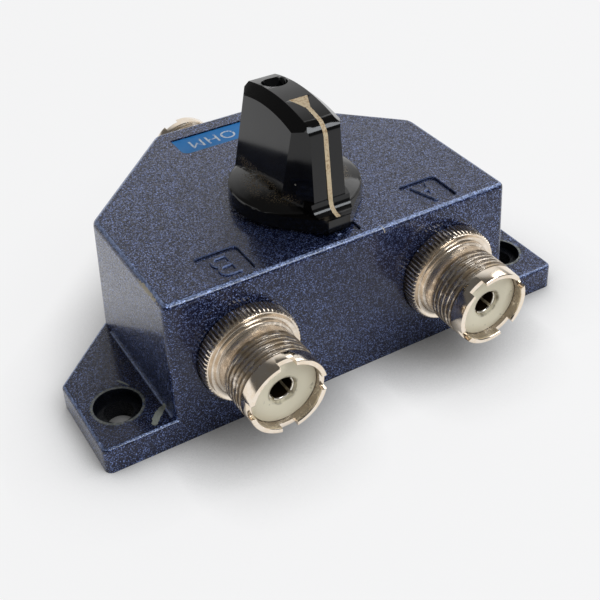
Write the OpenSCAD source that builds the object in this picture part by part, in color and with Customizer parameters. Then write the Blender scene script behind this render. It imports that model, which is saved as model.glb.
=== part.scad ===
// Two-way coaxial antenna switch in a die-cast box.
//
// A pointer knob turns a rotor inside the box. The rotor's blade joins the
// common socket at the back to socket A or socket B at the front, or to a
// ground jaw when the knob points straight forward.
//
// Millimetres. The origin lies midway between the two mounting holes, on the
// plane that the box stands on. +X runs along the front towards socket A, +Y
// from the front sockets to the common socket, and +Z up to the knob.

/* [Box] */
// Height of the box above the plane it stands on
box_h = 28.2; // [27.8:0.1:32]
// Width of the top face along the front edge
box_top_w = 69.7; // [66:0.1:76]
// Depth of the top face along its square sides
box_side_d = 29.7; // [27:0.1:34]
// Depth of the top face from the front edge to the rear edge
box_top_d = 51.9; // [48:0.1:60]
// Width of the top face along the rear edge
box_rear_w = 24.4; // [22:0.1:30]
// Distance from the line of the mounting holes to the foot of the front face
front_inset = 9.5; // [8:0.1:11]
// Draft of the front face, in degrees
front_draft = 4; // [0:0.5:5]
// Draft of the side faces, in degrees
side_draft = 1.6; // [0:0.2:3]
// Draft of the rear faces, in degrees
rear_draft = 3.1; // [0:0.1:4]
// Thickness of the side walls at the top
wall_t = 3.2; // [2.8:0.1:3.8]
// Thickness of the top wall
top_t = 3.2; // [2.8:0.1:3.8]
// Radius of the upright corners along the front
front_corner_r = 1.4; // [1.2:0.1:2]
// Radius of the other upright corners
rear_corner_r = 2.8; // [1.4:0.1:4]
// Rounding of the edges of the top face
top_edge_r = 1.1; // [0.4:0.1:1.2]

/* [Mounting ears] */
// Width of the box across its two ears
ear_span = 97.9; // [95:0.1:104]
// Thickness of the ears
ear_t = 5.05; // [4:0.05:6]
// Depth of an ear's outer side, from the front face
ear_side_d = 19.5; // [17:0.5:24]
// Distance from an ear's outer end to the middle of its mounting hole
hole_inset = 6.5; // [6:0.1:7]
// Radius of a mounting hole
hole_r = 2.65; // [2:0.05:3]
// Radius of the counterbore round a mounting hole
hole_seat_r = 4.25; // [3.6:0.05:4.6]
// Depth of that counterbore
hole_seat_d = 1.6; // [0.8:0.1:2.4]
// Radius of the upright corners of an ear
ear_corner_r = 1.3; // [0.8:0.1:2.5]
// Rounding of an ear's top edges
ear_edge_r = 0.7; // [0.3:0.1:0.8]
// Radius of the fillet between an ear and the side wall
ear_fillet_r = 0.5; // [0.3:0.1:1.2]

/* [Marks on the top] */
// Width of the sunk panel round a port letter
mark_w = 8.2; // [7.4:0.1:9]
// Depth of that panel from front to back
mark_d = 7.7; // [7:0.1:8.5]
// How far the panel and the label seat are sunk
mark_sink = 0.45; // [0.3:0.05:0.7]
// Height of a raised port letter
letter_h = 5; // [4:0.1:5.6]
// Width of a letter's stroke
letter_stroke = 0.7; // [0.5:0.05:0.9]
// Distance of the letter panels' middle from the middle of the top
mark_x = 21; // [19:0.1:22.5]
// Width of the label
label_w = 21.6; // [16:0.1:22]
// Depth of the label from front to back
label_d = 6.4; // [5:0.1:7]
// Distance from the rear edge of the top to the label
label_inset = 4; // [3:0.1:4.5]
// Thickness of the label
label_t = 0.2; // [0.15:0.05:0.25]

/* [Cover] */
// Thickness of the base cover
cover_t = 1.5; // [1.2:0.1:2]
// Width of the ledge of wall left outside the cover
cover_lip = 2.2; // [1.8:0.1:2.4]
// Gap all round the cover
cover_gap = 0.15; // [0.1:0.05:0.25]
// How far the cover lies above the plane the box stands on
cover_rise = 0.1; // [0.05:0.05:0.3]
// Radius of the cover screws' thread
cover_screw_r = 1.5; // [1.2:0.05:1.6]
// Radius of the cover screws' countersunk heads
cover_head_r = 2.8; // [2.4:0.1:3]
// Length of the cover screws
cover_screw_l = 8; // [6:0.5:10]
// Radius of the bosses that take the cover screws
boss_r = 3.1; // [2.8:0.1:3.4]

/* [Sockets] */
// Distance between the two front sockets
socket_spacing = 42.2; // [41:0.1:43.5]
// Height of the sockets' axes
socket_z = 14.4; // [14:0.1:15]
// Radius of the coupling thread, 5/8 inch 24 turns
thread_r = 7.9375; // [7.9:0.0125:8]
// Pitch of the coupling thread
thread_pitch = 1.0583; // [1:0.0001:1.1]
// Depth of the coupling thread
thread_depth = 0.6; // [0.4:0.05:0.65]
// Number of thread crests
thread_count = 6; // [5:1:7]
// Radius of the knurled flange
flange_r = 9.3; // [9:0.05:9.5]
// Distance that the flange stands out from the foot of the front face
flange_out = 1.8; // [1.6:0.05:2.2]
// Number of knurl teeth round the flange
knurl_count = 72; // [60:1:84]
// Depth of the knurl teeth
knurl_depth = 0.32; // [0.2:0.02:0.4]
// Distance that the socket's tip stands out from the foot of the front face
tip_out = 13.2; // [13:0.1:14]
// Radius of the plain collar at the tip
tip_r = 7.35; // [7.2:0.05:7.4]
// Length of that collar
tip_collar_l = 2.95; // [1.9:0.05:3.2]
// Radius of the relief neck behind the thread
neck_r = 7.2; // [7:0.05:7.3]
// Radius of the socket's bore
socket_bore_r = 6.35; // [6.2:0.05:6.5]
// Width of the four notches in the rim
notch_w = 2.9; // [2.4:0.1:3.2]
// Depth of those notches
notch_d = 1.2; // [0.8:0.1:1.5]
// Radius of the threaded stub that screws into the box
stub_r = 6.4; // [6:0.1:6.8]
// Radius of the smaller bore at the back of the socket
socket_back_r = 4.6; // [4:0.1:5]
// How far the insulator lies below the rim
insulator_sink = 2; // [1.8:0.1:2.4]
// Gap round the insulators, the contacts and the screwed-in stubs
seat_gap = 0.03; // [0.02:0.01:0.05]

/* [Contacts] */
// Radius of the contact's bore, for a 4 mm plug pin
contact_bore_r = 2.03; // [2.01:0.01:2.1]
// Outer radius of the contact tube
contact_r = 2.55; // [2.4:0.05:2.8]
// Depth of the contact's bore
contact_bore_l = 13; // [10:0.5:14]
// Width of the slots in the contact tube
contact_slot_w = 0.5; // [0.3:0.05:0.6]
// Length of those slots
contact_slot_l = 6; // [4:0.5:7]
// Radius of the contact's tail inside the box
tail_r = 1.2; // [1:0.05:1.5]
// Thickness of the rotor's blade
blade_t = 0.8; // [0.6:0.05:1]
// Width of the blade's arm
blade_w = 4.4; // [3.5:0.1:5]
// Gap between the blade's tip and the ground jaw's foot
blade_end_gap = 0.5; // [0.3:0.1:1]
// Running gap between the blade and what it slides between
blade_gap = 0.1; // [0.06:0.01:0.15]
// Thickness of a jaw's leaf
leaf_t = 0.5; // [0.4:0.05:0.7]
// Length of the blade that a jaw grips
jaw_grip = 2.2; // [1.6:0.1:2.4]

/* [Rotor] */
// Distance from the foot of the front face to the rotor's axis
rotor_inset = 19.7; // [19.5:0.1:20.5]
// Angle that the knob turns to either side, in degrees
turn_deg = 60; // [57:0.5:61]
// Radius of the shaft
shaft_r = 3; // [2.8:0.05:3.2]
// Radial running clearance of the shaft in its bush
shaft_gap = 0.04; // [0.02:0.01:0.06]
// Radius of the rotor's insulating disc
disc_r = 11; // [10.6:0.1:11.4]
// Radius of the disc's hub
hub_r = 6; // [5.8:0.1:6.4]
// Radius of the circle that the detent balls run on
detent_r = 8.6; // [8.5:0.1:8.8]
// Radius of a detent ball
ball_r = 1.5; // [1.3:0.05:1.6]
// Wire radius of a detent spring
spring_wire_r = 0.17; // [0.12:0.01:0.2]
// Turns of a detent spring
spring_turns = 3; // [2:1:3]
// Length of a detent spring under its ball
spring_l = 2.9; // [2.6:0.1:3.2]
// Radius of the stop pin
stop_r = 1; // [0.8:0.05:1.1]
// Radius of the bush's thread
bush_r = 5; // [4.5:0.1:5.2]
// Distance across the flats of the bush nut
nut_af = 13; // [12:0.5:14]

/* [Knob] */
// Height of the knob's crown above the box
knob_h = 20.1; // [18:0.1:22]
// Radius of the knob's skirt
skirt_r = 12.2; // [11.8:0.1:12.4]
// Height of the skirt's upright rim
skirt_h = 3.4; // [3:0.1:4]
// Gap between the knob and the box
knob_lift = 0.5; // [0.3:0.1:0.8]
// Reach of the nose from the axis
nose_reach = 14.9; // [14.4:0.1:15.4]
// Radius of the crown's long curve
crown_r = 37; // [30:0.5:45]
// Width of the pointer line
line_w = 0.85; // [0.6:0.05:1.2]
// Depth of the pointer line's groove
line_d = 0.3; // [0.2:0.05:0.4]
// Width of the pointer's arrowhead
arrow_w = 3.7; // [2.5:0.1:4]
// Length of the arrowhead
arrow_l = 3.3; // [2.5:0.1:4]

/* [Hidden] */

$fn = 72;
tiny = 0.01;
over = 1;

die_cast_colour = [0.16, 0.17, 0.30];
nickel_colour = [0.80, 0.77, 0.72];
cream_colour = [0.90, 0.88, 0.78];
brass_colour = [0.80, 0.65, 0.35];
silvered_colour = [0.86, 0.86, 0.84];
steel_colour = [0.62, 0.63, 0.65];
black_colour = [0.06, 0.06, 0.07];

front_y = -front_inset;
hole_spacing = ear_span - 2 * hole_inset;
rotor_y = front_y + rotor_inset;
front_top_y = front_y + box_h * tan(front_draft);
rear_top_y = front_top_y + box_top_d;
ceiling_z = box_h - top_t;
label_seat_y = rear_top_y - label_inset - label_d / 2;

// ---- outlines of the box ------------------------------------------------

// The taper's corners lean out by less than the faces beside them.
corner_lean = 0.4;

function side_x(z) = box_top_w / 2 + (box_h - z) * tan(side_draft);
function front_face_y(z) = front_y + z * tan(front_draft);
function taper_y(z) = front_top_y + box_side_d + corner_lean * (box_h - z) * tan(rear_draft);
function rear_x(z) = box_rear_w / 2 + corner_lean * (box_h - z) * tan(rear_draft);
function rear_face_y(z) = rear_top_y + (box_h - z) * tan(rear_draft);

// Six corners, counter-clockwise from the front left.
function box_outline(z) = [
    [-side_x(z), front_face_y(z)],
    [side_x(z), front_face_y(z)],
    [side_x(z), taper_y(z)],
    [rear_x(z), rear_face_y(z)],
    [-rear_x(z), rear_face_y(z)],
    [-side_x(z), taper_y(z)]
];
box_corner_r = [
    front_corner_r, front_corner_r, rear_corner_r,
    rear_corner_r, rear_corner_r, rear_corner_r
];
function ear_outline(z) = [
    [-ear_span / 2, front_face_y(z)],
    [ear_span / 2, front_face_y(z)],
    [ear_span / 2, front_y + ear_side_d],
    [side_x(z), taper_y(z)],
    [-side_x(z), taper_y(z)],
    [-ear_span / 2, front_y + ear_side_d]
];

function unit(v) = v / norm(v);
function left_of(v) = [-v.y, v.x];
function inset_corner(a, b, c, d) =
    let (n1 = left_of(unit(b - a)), n2 = left_of(unit(c - b)))
    b + d * (n1 + n2) / (1 + n1 * n2);
function inset(p, d) =
    let (n = len(p))
    [for (i = [0:n - 1]) inset_corner(p[(i + n - 1) % n], p[i], p[(i + 1) % n], d)];
function pick_inset(p, r, i) = inset(p, r[i])[i];

// ---- housing ------------------------------------------------------------

// One corner of a cast block: an upright post with its top edge rounded.
module rounded_post(at, r, z, edge) {
    steps = 4;
    for (i = [0:steps]) {
        a = 90 * i / steps;
        translate([at.x, at.y, z - edge + edge * sin(a)])
            cylinder(r = r - edge + edge * cos(a), h = tiny, $fn = 32);
    }
}

module box_block() {
    hull()
        for (i = [0:5]) {
            foot = pick_inset(box_outline(0), box_corner_r, i);
            top = pick_inset(box_outline(box_h), box_corner_r, i);
            translate([foot.x, foot.y, 0])
                cylinder(r = box_corner_r[i], h = tiny, $fn = 32);
            rounded_post(top, box_corner_r[i], box_h - tiny, top_edge_r);
        }
}

module ear_block() {
    foot = inset(ear_outline(0), ear_corner_r);
    top = inset(ear_outline(ear_t), ear_corner_r);
    hull()
        for (i = [0:5]) {
            translate([foot[i].x, foot[i].y, 0])
                cylinder(r = ear_corner_r, h = tiny, $fn = 32);
            rounded_post(top[i], ear_corner_r, ear_t - tiny, ear_edge_r);
        }
}

module ear_fillet(side) {
    start = front_face_y(ear_t + ear_fillet_r) + front_corner_r;
    run = box_side_d - front_corner_r - 3 * ear_fillet_r;
    x = side_x(ear_t);
    translate([side * x, start, ear_t])
        rotate([-90, 0, 0])
            linear_extrude(run)
                difference() {
                    translate([side > 0 ? -over : -ear_fillet_r, -ear_fillet_r])
                        square([ear_fillet_r + over, ear_fillet_r + over]);
                    translate([side * ear_fillet_r, -ear_fillet_r])
                        circle(r = ear_fillet_r);
                }
}

boss_inset = cover_lip + cover_gap + cover_head_r + 1;
boss_points = inset(box_outline(cover_t), boss_inset);

module cavity() {
    floor_z = cover_rise + cover_t;
    difference() {
        translate([0, 0, -over])
            linear_extrude(ceiling_z + over)
                polygon(inset(box_outline(box_h), wall_t));
        for (p = boss_points)
            translate([p.x, p.y, floor_z])
                cylinder(r = boss_r, h = box_h);
    }
    translate([0, 0, -over])
        linear_extrude(floor_z + over)
            polygon(inset(box_outline(0), cover_lip));
}

module letter_bar(a, b) {
    span = b - a;
    translate(a)
        rotate(atan2(span.y, span.x))
            translate([-letter_stroke / 2, -letter_stroke / 2])
                square([norm(span) + letter_stroke, letter_stroke]);
}

letter_w = letter_h * 0.62;

module letter_a() {
    foot = letter_w / 2;
    letter_bar([-foot, 0], [0, letter_h]);
    letter_bar([foot, 0], [0, letter_h]);
    letter_bar([-foot * 0.64, letter_h * 0.34], [foot * 0.64, letter_h * 0.34]);
}

module letter_lobe(low, high, reach) {
    r = (high - low) / 2;
    letter_bar([-letter_w / 2, low], [reach - r, low]);
    letter_bar([-letter_w / 2, high], [reach - r, high]);
    translate([reach - r, (low + high) / 2])
        difference() {
            circle(r = r + letter_stroke / 2);
            circle(r = r - letter_stroke / 2);
            translate([-2 * letter_h, -letter_h])
                square([2 * letter_h, 2 * letter_h]);
        }
}

module letter_b() {
    letter_bar([-letter_w / 2, 0], [-letter_w / 2, letter_h]);
    letter_lobe(0, letter_h * 0.52, letter_w / 2);
    letter_lobe(letter_h * 0.52, letter_h, letter_w * 0.42);
}

module ground_sign() {
    letter_bar([0, letter_h * 0.55], [0, letter_h]);
    for (i = [0:2])
        letter_bar([-letter_w * (0.5 - i * 0.17), letter_h * (0.55 - i * 0.24)],
                   [letter_w * (0.5 - i * 0.17), letter_h * (0.55 - i * 0.24)]);
}

mark_inset = 1.8;
mark_corner_r = 0.8;
mark_y = front_top_y + mark_inset + mark_d / 2;

module rounded_rectangle(w, d, r) {
    square([w - 2 * r, d], center = true);
    square([w, d - 2 * r], center = true);
    for (x = [-1, 1], y = [-1, 1])
        translate([x * (w / 2 - r), y * (d / 2 - r)])
            circle(r = r, $fn = 32);
}

// The signs are read from the rear side of the box.
module top_mark(x) {
    translate([x, mark_y, box_h - mark_sink])
        difference() {
            linear_extrude(mark_sink + over)
                rounded_rectangle(mark_w, mark_d, mark_corner_r);
            translate([0, letter_h / 2, -over])
                rotate(180)
                    linear_extrude(mark_sink + over - 0.1)
                        children();
        }
}

module label_outline(w, d, r) {
    translate([-w / 2 + r, -d / 2])
        square([w - 2 * r, d]);
    translate([-w / 2, -d / 2 + r])
        square([w, d - r]);
    for (s = [-1, 1])
        translate([s * (w / 2 - r), -d / 2 + r])
            circle(r = r, $fn = 32);
}

label_corner_r = 1.5;
label_gap = 0.15;

// A socket's own frame: its axis along +Y, its foot plane at the box wall.
front_socket_x = socket_spacing / 2;
front_seat_y = front_face_y(socket_z + flange_r);
rear_seat_y = rear_face_y(socket_z + flange_r);
seat_r = flange_r + 0.25;

module front_socket_place(side) {
    translate([side * front_socket_x, 0, socket_z])
        children();
}

// The common socket is the same socket, turned to face the rear. Its foot
// plane stands as far behind its seat as that of the front sockets.
rear_foot_y = rear_seat_y + (front_seat_y - front_y);
module rear_socket_place() {
    translate([0, rear_foot_y, socket_z])
        rotate(180)
            translate([0, -front_y, 0])
                children();
}

// A cylinder along +Y from y1 to y2.
module y_rod(r, y1, y2) {
    translate([0, y1, 0])
        rotate([-90, 0, 0])
            cylinder(r = r, h = y2 - y1);
}

module socket_seat_cut() {
    y_rod(seat_r, front_seat_y - flange_r, front_seat_y);
    y_rod(stub_r + seat_gap, front_seat_y - over, front_seat_y + 3 * wall_t);
}

bush_hole_r = bush_r + 0.05;
stop_y = rotor_y + detent_r;

module housing() {
    color(die_cast_colour)
        difference() {
            union() {
                box_block();
                ear_block();
                for (side = [-1, 1])
                    ear_fillet(side);
            }
            cavity();
            for (side = [-1, 1]) {
                translate([side * hole_spacing / 2, 0, -over])
                    cylinder(r = hole_r, h = ear_t + 2 * over);
                translate([side * hole_spacing / 2, 0, ear_t - hole_seat_d])
                    cylinder(r = hole_seat_r, h = box_h);
                front_socket_place(side)
                    socket_seat_cut();
            }
            rear_socket_place()
                socket_seat_cut();
            for (p = boss_points)
                translate([p.x, p.y, 0])
                    cylinder(r = cover_screw_r + seat_gap, h = cover_rise + cover_screw_l + over);
            translate([0, rotor_y, ceiling_z - over])
                cylinder(r = bush_hole_r, h = top_t + 2 * over);
            translate([0, stop_y, ceiling_z - over])
                cylinder(r = stop_r, h = top_t * 0.6 + over);
            top_mark(-mark_x)
                letter_b();
            top_mark(0)
                ground_sign();
            top_mark(mark_x)
                letter_a();
            translate([0, label_seat_y, box_h - mark_sink])
                linear_extrude(mark_sink + over)
                    label_outline(label_w, label_d, label_corner_r);
            translate([0, front_face_y(ground_screw_z) + 1, ground_screw_z])
                y_rod(ground_screw_r + seat_gap, 0, 2 * wall_t);
        }
}

module base_cover() {
    color(steel_colour)
        difference() {
            translate([0, 0, cover_rise])
                linear_extrude(cover_t)
                    polygon(inset(box_outline(0), cover_lip + cover_gap));
            for (p = boss_points) {
                translate([p.x, p.y, 0])
                    cylinder(r = cover_screw_r + cover_gap, h = cover_t + over);
                translate([p.x, p.y, cover_rise - tiny])
                    screw_head_cone(cover_gap);
            }
        }
}

head_cone_h = cover_head_r - cover_screw_r;
module screw_head_cone(gap) {
    rotate_extrude()
        polygon([
            [0, 0], [cover_head_r + gap, 0],
            [cover_screw_r + gap, head_cone_h], [0, head_cone_h]
        ]);
}

module cross_recess(r, depth) {
    for (a = [0, 90])
        rotate(a)
            translate([-r, -r * 0.18, -over])
                cube([2 * r, r * 0.36, depth + over]);
}

module cover_screws() {
    color(steel_colour)
        for (p = boss_points)
            translate([p.x, p.y, cover_rise])
                difference() {
                    union() {
                        screw_head_cone(0);
                        cylinder(r = cover_screw_r, h = cover_screw_l);
                    }
                    cross_recess(cover_head_r * 0.55, 1);
                }
}

module label_plate() {
    color([0.13, 0.48, 0.80])
        translate([0, label_seat_y, box_h - mark_sink])
            linear_extrude(label_t)
                label_outline(label_w - 2 * label_gap, label_d - 2 * label_gap, label_corner_r);
}

// ---- sockets ------------------------------------------------------------

tip_y = front_y - tip_out;
flange_y = front_y - flange_out;
insulator_y = tip_y + insulator_sink;
stub_end_y = front_face_y(box_h) + wall_t - 0.3;
thread_end_y = tip_y + tip_collar_l;
shelf_y = front_seat_y - 0.8;
crest_w = 0.24;
root_w = 0.12;
flank_w = (thread_pitch - crest_w - root_w) / 2;

// One groove of the coupling thread, as a ring with sloping sides.
module thread_groove(y) {
    half = flank_w + root_w / 2;
    translate([0, y, 0])
        rotate([-90, 0, 0])
            rotate_extrude()
                polygon([
                    [thread_r - thread_depth, -root_w / 2],
                    [thread_r + tiny, -half],
                    [thread_r + over, -half],
                    [thread_r + over, half],
                    [thread_r + tiny, half],
                    [thread_r - thread_depth, root_w / 2]
                ]);
}

module knurl_cut() {
    for (i = [0:knurl_count - 1])
        rotate([0, 360 * i / knurl_count, 0])
            translate([flange_r, (flange_y + front_seat_y) / 2, 0])
                rotate([0, 45, 0])
                    cube([knurl_depth * 1.42, 2 * flange_out + 3, knurl_depth * 1.42], center = true);
}

module socket_shell(notch_turn) {
    thread_start_y = thread_end_y + (thread_count - 1) * thread_pitch + crest_w;
    difference() {
        union() {
            y_rod(tip_r, tip_y, thread_end_y);
            y_rod(thread_r, thread_end_y - flank_w - root_w / 2, thread_start_y);
            y_rod(neck_r, thread_start_y - tiny, flange_y + tiny);
            y_rod(flange_r, flange_y, front_seat_y);
            y_rod(stub_r, front_seat_y - tiny, stub_end_y);
        }
        for (i = [0:thread_count - 1])
            thread_groove(thread_end_y - flank_w - root_w / 2 + i * thread_pitch);
        y_rod(socket_bore_r, tip_y - over, shelf_y);
        y_rod(socket_back_r, shelf_y - over, stub_end_y + over);
        for (a = [0, 90])
            rotate([0, a + notch_turn, 0])
                translate([0, tip_y, 0])
                    cube([2 * thread_r + over, 2 * notch_d, notch_w], center = true);
        knurl_cut();
    }
}

// How far each socket stands turned about its axis, as it was screwed in.
notch_turn_a = -33;
notch_turn_b = 0;
notch_turn_common = 20;

module socket_shell_a() {
    color(nickel_colour)
        front_socket_place(1)
            socket_shell(notch_turn_a);
}

module socket_shell_b() {
    color(nickel_colour)
        front_socket_place(-1)
            socket_shell(notch_turn_b);
}

module socket_shell_common() {
    color(nickel_colour)
        rear_socket_place()
            socket_shell(notch_turn_common);
}

insulator_end_y = stub_end_y + 1.6;

module socket_insulator() {
    difference() {
        union() {
            y_rod(socket_bore_r - seat_gap, insulator_y, shelf_y - seat_gap);
            y_rod(socket_back_r - seat_gap, shelf_y - over, insulator_end_y);
        }
        y_rod(contact_r + seat_gap, insulator_y - over, contact_back_y + seat_gap);
        y_rod(tail_r + seat_gap, contact_back_y - over, insulator_end_y + over);
    }
}

module socket_insulator_a() {
    color(cream_colour)
        front_socket_place(1)
            socket_insulator();
}

module socket_insulator_b() {
    color(cream_colour)
        front_socket_place(-1)
            socket_insulator();
}

module socket_insulator_common() {
    color(cream_colour)
        rear_socket_place()
            socket_insulator();
}

contact_front_y = insulator_y + 0.1;
contact_back_y = contact_front_y + contact_bore_l + 1.2;
tail_grip_l = 3.4;
tail_end_y = insulator_end_y + tail_grip_l;

module socket_contact() {
    difference() {
        union() {
            y_rod(contact_r, contact_front_y, contact_back_y);
            y_rod(tail_r, contact_back_y - tiny, tail_end_y);
        }
        y_rod(contact_bore_r, contact_front_y - over, contact_front_y + contact_bore_l);
        for (a = [45, 135])
            rotate([0, a, 0])
                translate([-contact_r - over, contact_front_y - over, -contact_slot_w / 2])
                    cube([2 * contact_r + 2 * over, contact_slot_l + over, contact_slot_w]);
    }
}

module socket_contact_a() {
    color(silvered_colour)
        front_socket_place(1)
            socket_contact();
}

module socket_contact_b() {
    color(silvered_colour)
        front_socket_place(-1)
            socket_contact();
}

module socket_contact_common() {
    color(silvered_colour)
        rear_socket_place()
            socket_contact();
}

// ---- jaws that grip the blade -------------------------------------------

inner_front_y = front_top_y + wall_t;
foot_t = 0.8;
tail_hub_r = 2.3;
tail_hub_y = insulator_end_y + 0.2;
tail_hub_l = tail_end_y - tail_hub_y;
blade_r = rotor_y - inner_front_y - foot_t - blade_end_gap;
jaw_start = blade_r - jaw_grip;
slot_half = blade_t / 2 + blade_gap;
leaf_half = slot_half + leaf_t;
jaw_relief_l = 4;
jaw_slot_l = jaw_grip + jaw_relief_l;

// Two leaves with the blade's slot between them, along +X from the axis.
module jaw_leaves(start, end) {
    difference() {
        translate([start, -blade_w / 2, -leaf_half])
            cube([end - start, blade_w, 2 * leaf_half]);
        translate([start - over, -blade_w / 2 - over, -slot_half])
            cube([jaw_slot_l + over, blade_w + 2 * over, 2 * slot_half]);
    }
}

module contact_jaw(side) {
    difference() {
        union() {
            translate([0, rotor_y, socket_z])
                rotate(side * turn_deg - 90)
                    jaw_leaves(jaw_start, front_socket_x / sin(turn_deg));
            front_socket_place(side)
                y_rod(tail_hub_r, tail_hub_y, tail_end_y);
        }
        front_socket_place(side) {
            y_rod(tail_r + seat_gap, tail_hub_y - over, tail_end_y + seat_gap);
            translate([-blade_w, tail_hub_y - blade_w, -blade_w])
                cube([2 * blade_w, blade_w, 2 * blade_w]);
        }
    }
}

module contact_jaw_a() {
    color(brass_colour)
        contact_jaw(1);
}

module contact_jaw_b() {
    color(brass_colour)
        contact_jaw(-1);
}

ground_screw_r = 1.25;
ground_screw_rise = 4.6;
ground_screw_z = socket_z + ground_screw_rise;
ground_head_r = 2.2;
ground_head_l = 1.2;
ground_shank_l = foot_t + 0.75 * wall_t;

module ground_jaw() {
    color(brass_colour)
        difference() {
            union() {
                translate([0, rotor_y, socket_z])
                    rotate(-90)
                        jaw_leaves(jaw_start, rotor_y - inner_front_y);
                translate([-blade_w / 2, inner_front_y, socket_z - leaf_half])
                    cube([blade_w, foot_t, ground_screw_z - socket_z + leaf_half + ground_head_r]);
            }
            translate([0, 0, ground_screw_z])
                y_rod(ground_screw_r + cover_gap, inner_front_y - over, inner_front_y + 2 * over);
        }
}

module ground_screw() {
    head_y = inner_front_y + foot_t;
    color(steel_colour)
        translate([0, 0, ground_screw_z])
            difference() {
                union() {
                    y_rod(ground_screw_r, head_y - ground_shank_l, head_y + tiny);
                    y_rod(ground_head_r, head_y, head_y + ground_head_l);
                }
                translate([-ground_head_r - over, head_y + ground_head_l - 0.5, -0.25])
                    cube([2 * ground_head_r + 2 * over, over, 0.5]);
            }
}

blade_low = socket_z - blade_t / 2;
blade_top = socket_z + blade_t / 2;
hub_stub_r = 3.6;
ring_bore_gap = 0.2;
bar_t = 0.8;
bar_top = blade_low - blade_gap;

module common_bar() {
    hub_end = rear_foot_y - (tail_hub_y - front_y);
    hub_start = rear_foot_y - (tail_end_y - front_y);
    color(brass_colour)
        difference() {
            union() {
                translate([0, rotor_y, bar_top - bar_t])
                    cylinder(r = hub_r, h = bar_t);
                translate([-blade_w / 2, rotor_y, bar_top - bar_t])
                    cube([blade_w, hub_end - rotor_y, bar_t]);
                rear_socket_place()
                    y_rod(tail_hub_r, tail_hub_y, tail_end_y);
            }
            translate([0, rotor_y, bar_top - bar_t - over])
                cylinder(r = hub_stub_r + ring_bore_gap, h = bar_t + 2 * over);
            translate([0, hub_start - tiny, socket_z])
                y_rod(tail_r + seat_gap, 0, hub_end - hub_start + over);
        }
}

// ---- bush, detent plate and stop ----------------------------------------

plate_t = 0.8;
plate_r = detent_r + 2.9;
plate_low = ceiling_z - plate_t;
bush_flange_r = bush_r + 1;
bush_flange_t = 1.6;
bush_low = plate_low - bush_flange_t;
washer_t = 0.5;
nut_t = 2;
bush_top = box_h + washer_t + nut_t + 0.4;

module shaft_bush() {
    color(brass_colour)
        translate([0, rotor_y, 0])
            difference() {
                union() {
                    translate([0, 0, bush_low])
                        cylinder(r = bush_flange_r, h = bush_flange_t);
                    translate([0, 0, bush_low])
                        cylinder(r = bush_r, h = bush_top - bush_low);
                }
                translate([0, 0, bush_low - over])
                    cylinder(r = shaft_r + shaft_gap, h = bush_top - bush_low + 2 * over);
            }
}

module bush_washer() {
    color(steel_colour)
        translate([0, rotor_y, box_h])
            difference() {
                cylinder(r = nut_af / 2 + 0.9, h = washer_t);
                translate([0, 0, -over])
                    cylinder(r = bush_hole_r, h = washer_t + 2 * over);
            }
}

module bush_nut() {
    color(brass_colour)
        translate([0, rotor_y, box_h + washer_t])
            difference() {
                cylinder(r = nut_af / 2 / cos(30), h = nut_t, $fn = 6);
                translate([0, 0, -over])
                    cylinder(r = bush_r + seat_gap, h = nut_t + 2 * over);
            }
}

dimple_r = 1;
module detent_plate() {
    color(steel_colour)
        translate([0, rotor_y, plate_low])
            difference() {
                cylinder(r = plate_r, h = plate_t);
                translate([0, 0, -over])
                    cylinder(r = bush_hole_r, h = plate_t + 2 * over);
                for (a = [-turn_deg, 0, turn_deg], s = [0, 180])
                    rotate(a + s)
                        translate([detent_r, 0, -over])
                            cylinder(r = dimple_r, h = plate_t + 2 * over);
                translate([0, detent_r, -over])
                    cylinder(r = stop_r + seat_gap, h = plate_t + 2 * over);
            }
}

disc_top = plate_low - 0.4;
stop_low = disc_top - 1.6;
module stop_pin() {
    color(steel_colour)
        translate([0, stop_y, stop_low])
            cylinder(r = stop_r - seat_gap, h = ceiling_z + top_t * 0.6 - 0.1 - stop_low);
}

// ---- rotor --------------------------------------------------------------

disc_low = blade_top + 2;
collar_low = bush_low - 1.5;
collar_r = shaft_r + 1.2;
collar_gap = 0.1;
shaft_low = blade_top + 1.2;
clip_low = bush_top + 0.1;
clip_t = 0.6;
clip_r = shaft_r + 1.4;
clip_mouth = 3.2;
clip_groove_r = shaft_r - 0.6;
crown_wall = 4.3;
shaft_top = box_h + knob_h - crown_wall;
flat_depth = 0.7;
cross_pin_r = 0.8;
cross_pin_z = disc_low + 1.3;
cross_pin_l = 2 * disc_r - 2;

module rotor_shaft() {
    color(steel_colour)
        translate([0, rotor_y, 0])
            difference() {
                union() {
                    translate([0, 0, shaft_low])
                        cylinder(r = shaft_r, h = shaft_top - shaft_low);
                    translate([0, 0, collar_low])
                        cylinder(r = collar_r, h = bush_low - collar_gap - collar_low);
                }
                translate([0, 0, clip_low - 0.02])
                    difference() {
                        cylinder(r = shaft_r + over, h = clip_t + 0.04);
                        translate([0, 0, -over])
                            cylinder(r = clip_groove_r, h = clip_t + 2 * over);
                    }
                translate([-shaft_r, shaft_r - flat_depth, knob_bore_low])
                    cube([2 * shaft_r, shaft_r, knob_h]);
                translate([0, 0, cross_pin_z])
                    y_rod(cross_pin_r + seat_gap, -shaft_r - over, shaft_r + over);
            }
}

module shaft_clip() {
    color(steel_colour)
        translate([0, rotor_y, clip_low])
            difference() {
                cylinder(r = clip_r, h = clip_t);
                translate([0, 0, -over])
                    cylinder(r = clip_groove_r + 0.02, h = clip_t + 2 * over);
                translate([-clip_mouth / 2, 0, -over])
                    cube([clip_mouth, 2 * clip_r, clip_t + 2 * over]);
            }
}

pocket_r = ball_r + 0.08;
ball_z = plate_low - 0.06 - ball_r;
pocket_low = ball_z - ball_r - spring_l;
slot_margin = 0.7;
stop_slot_r = stop_r + 0.15;

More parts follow.
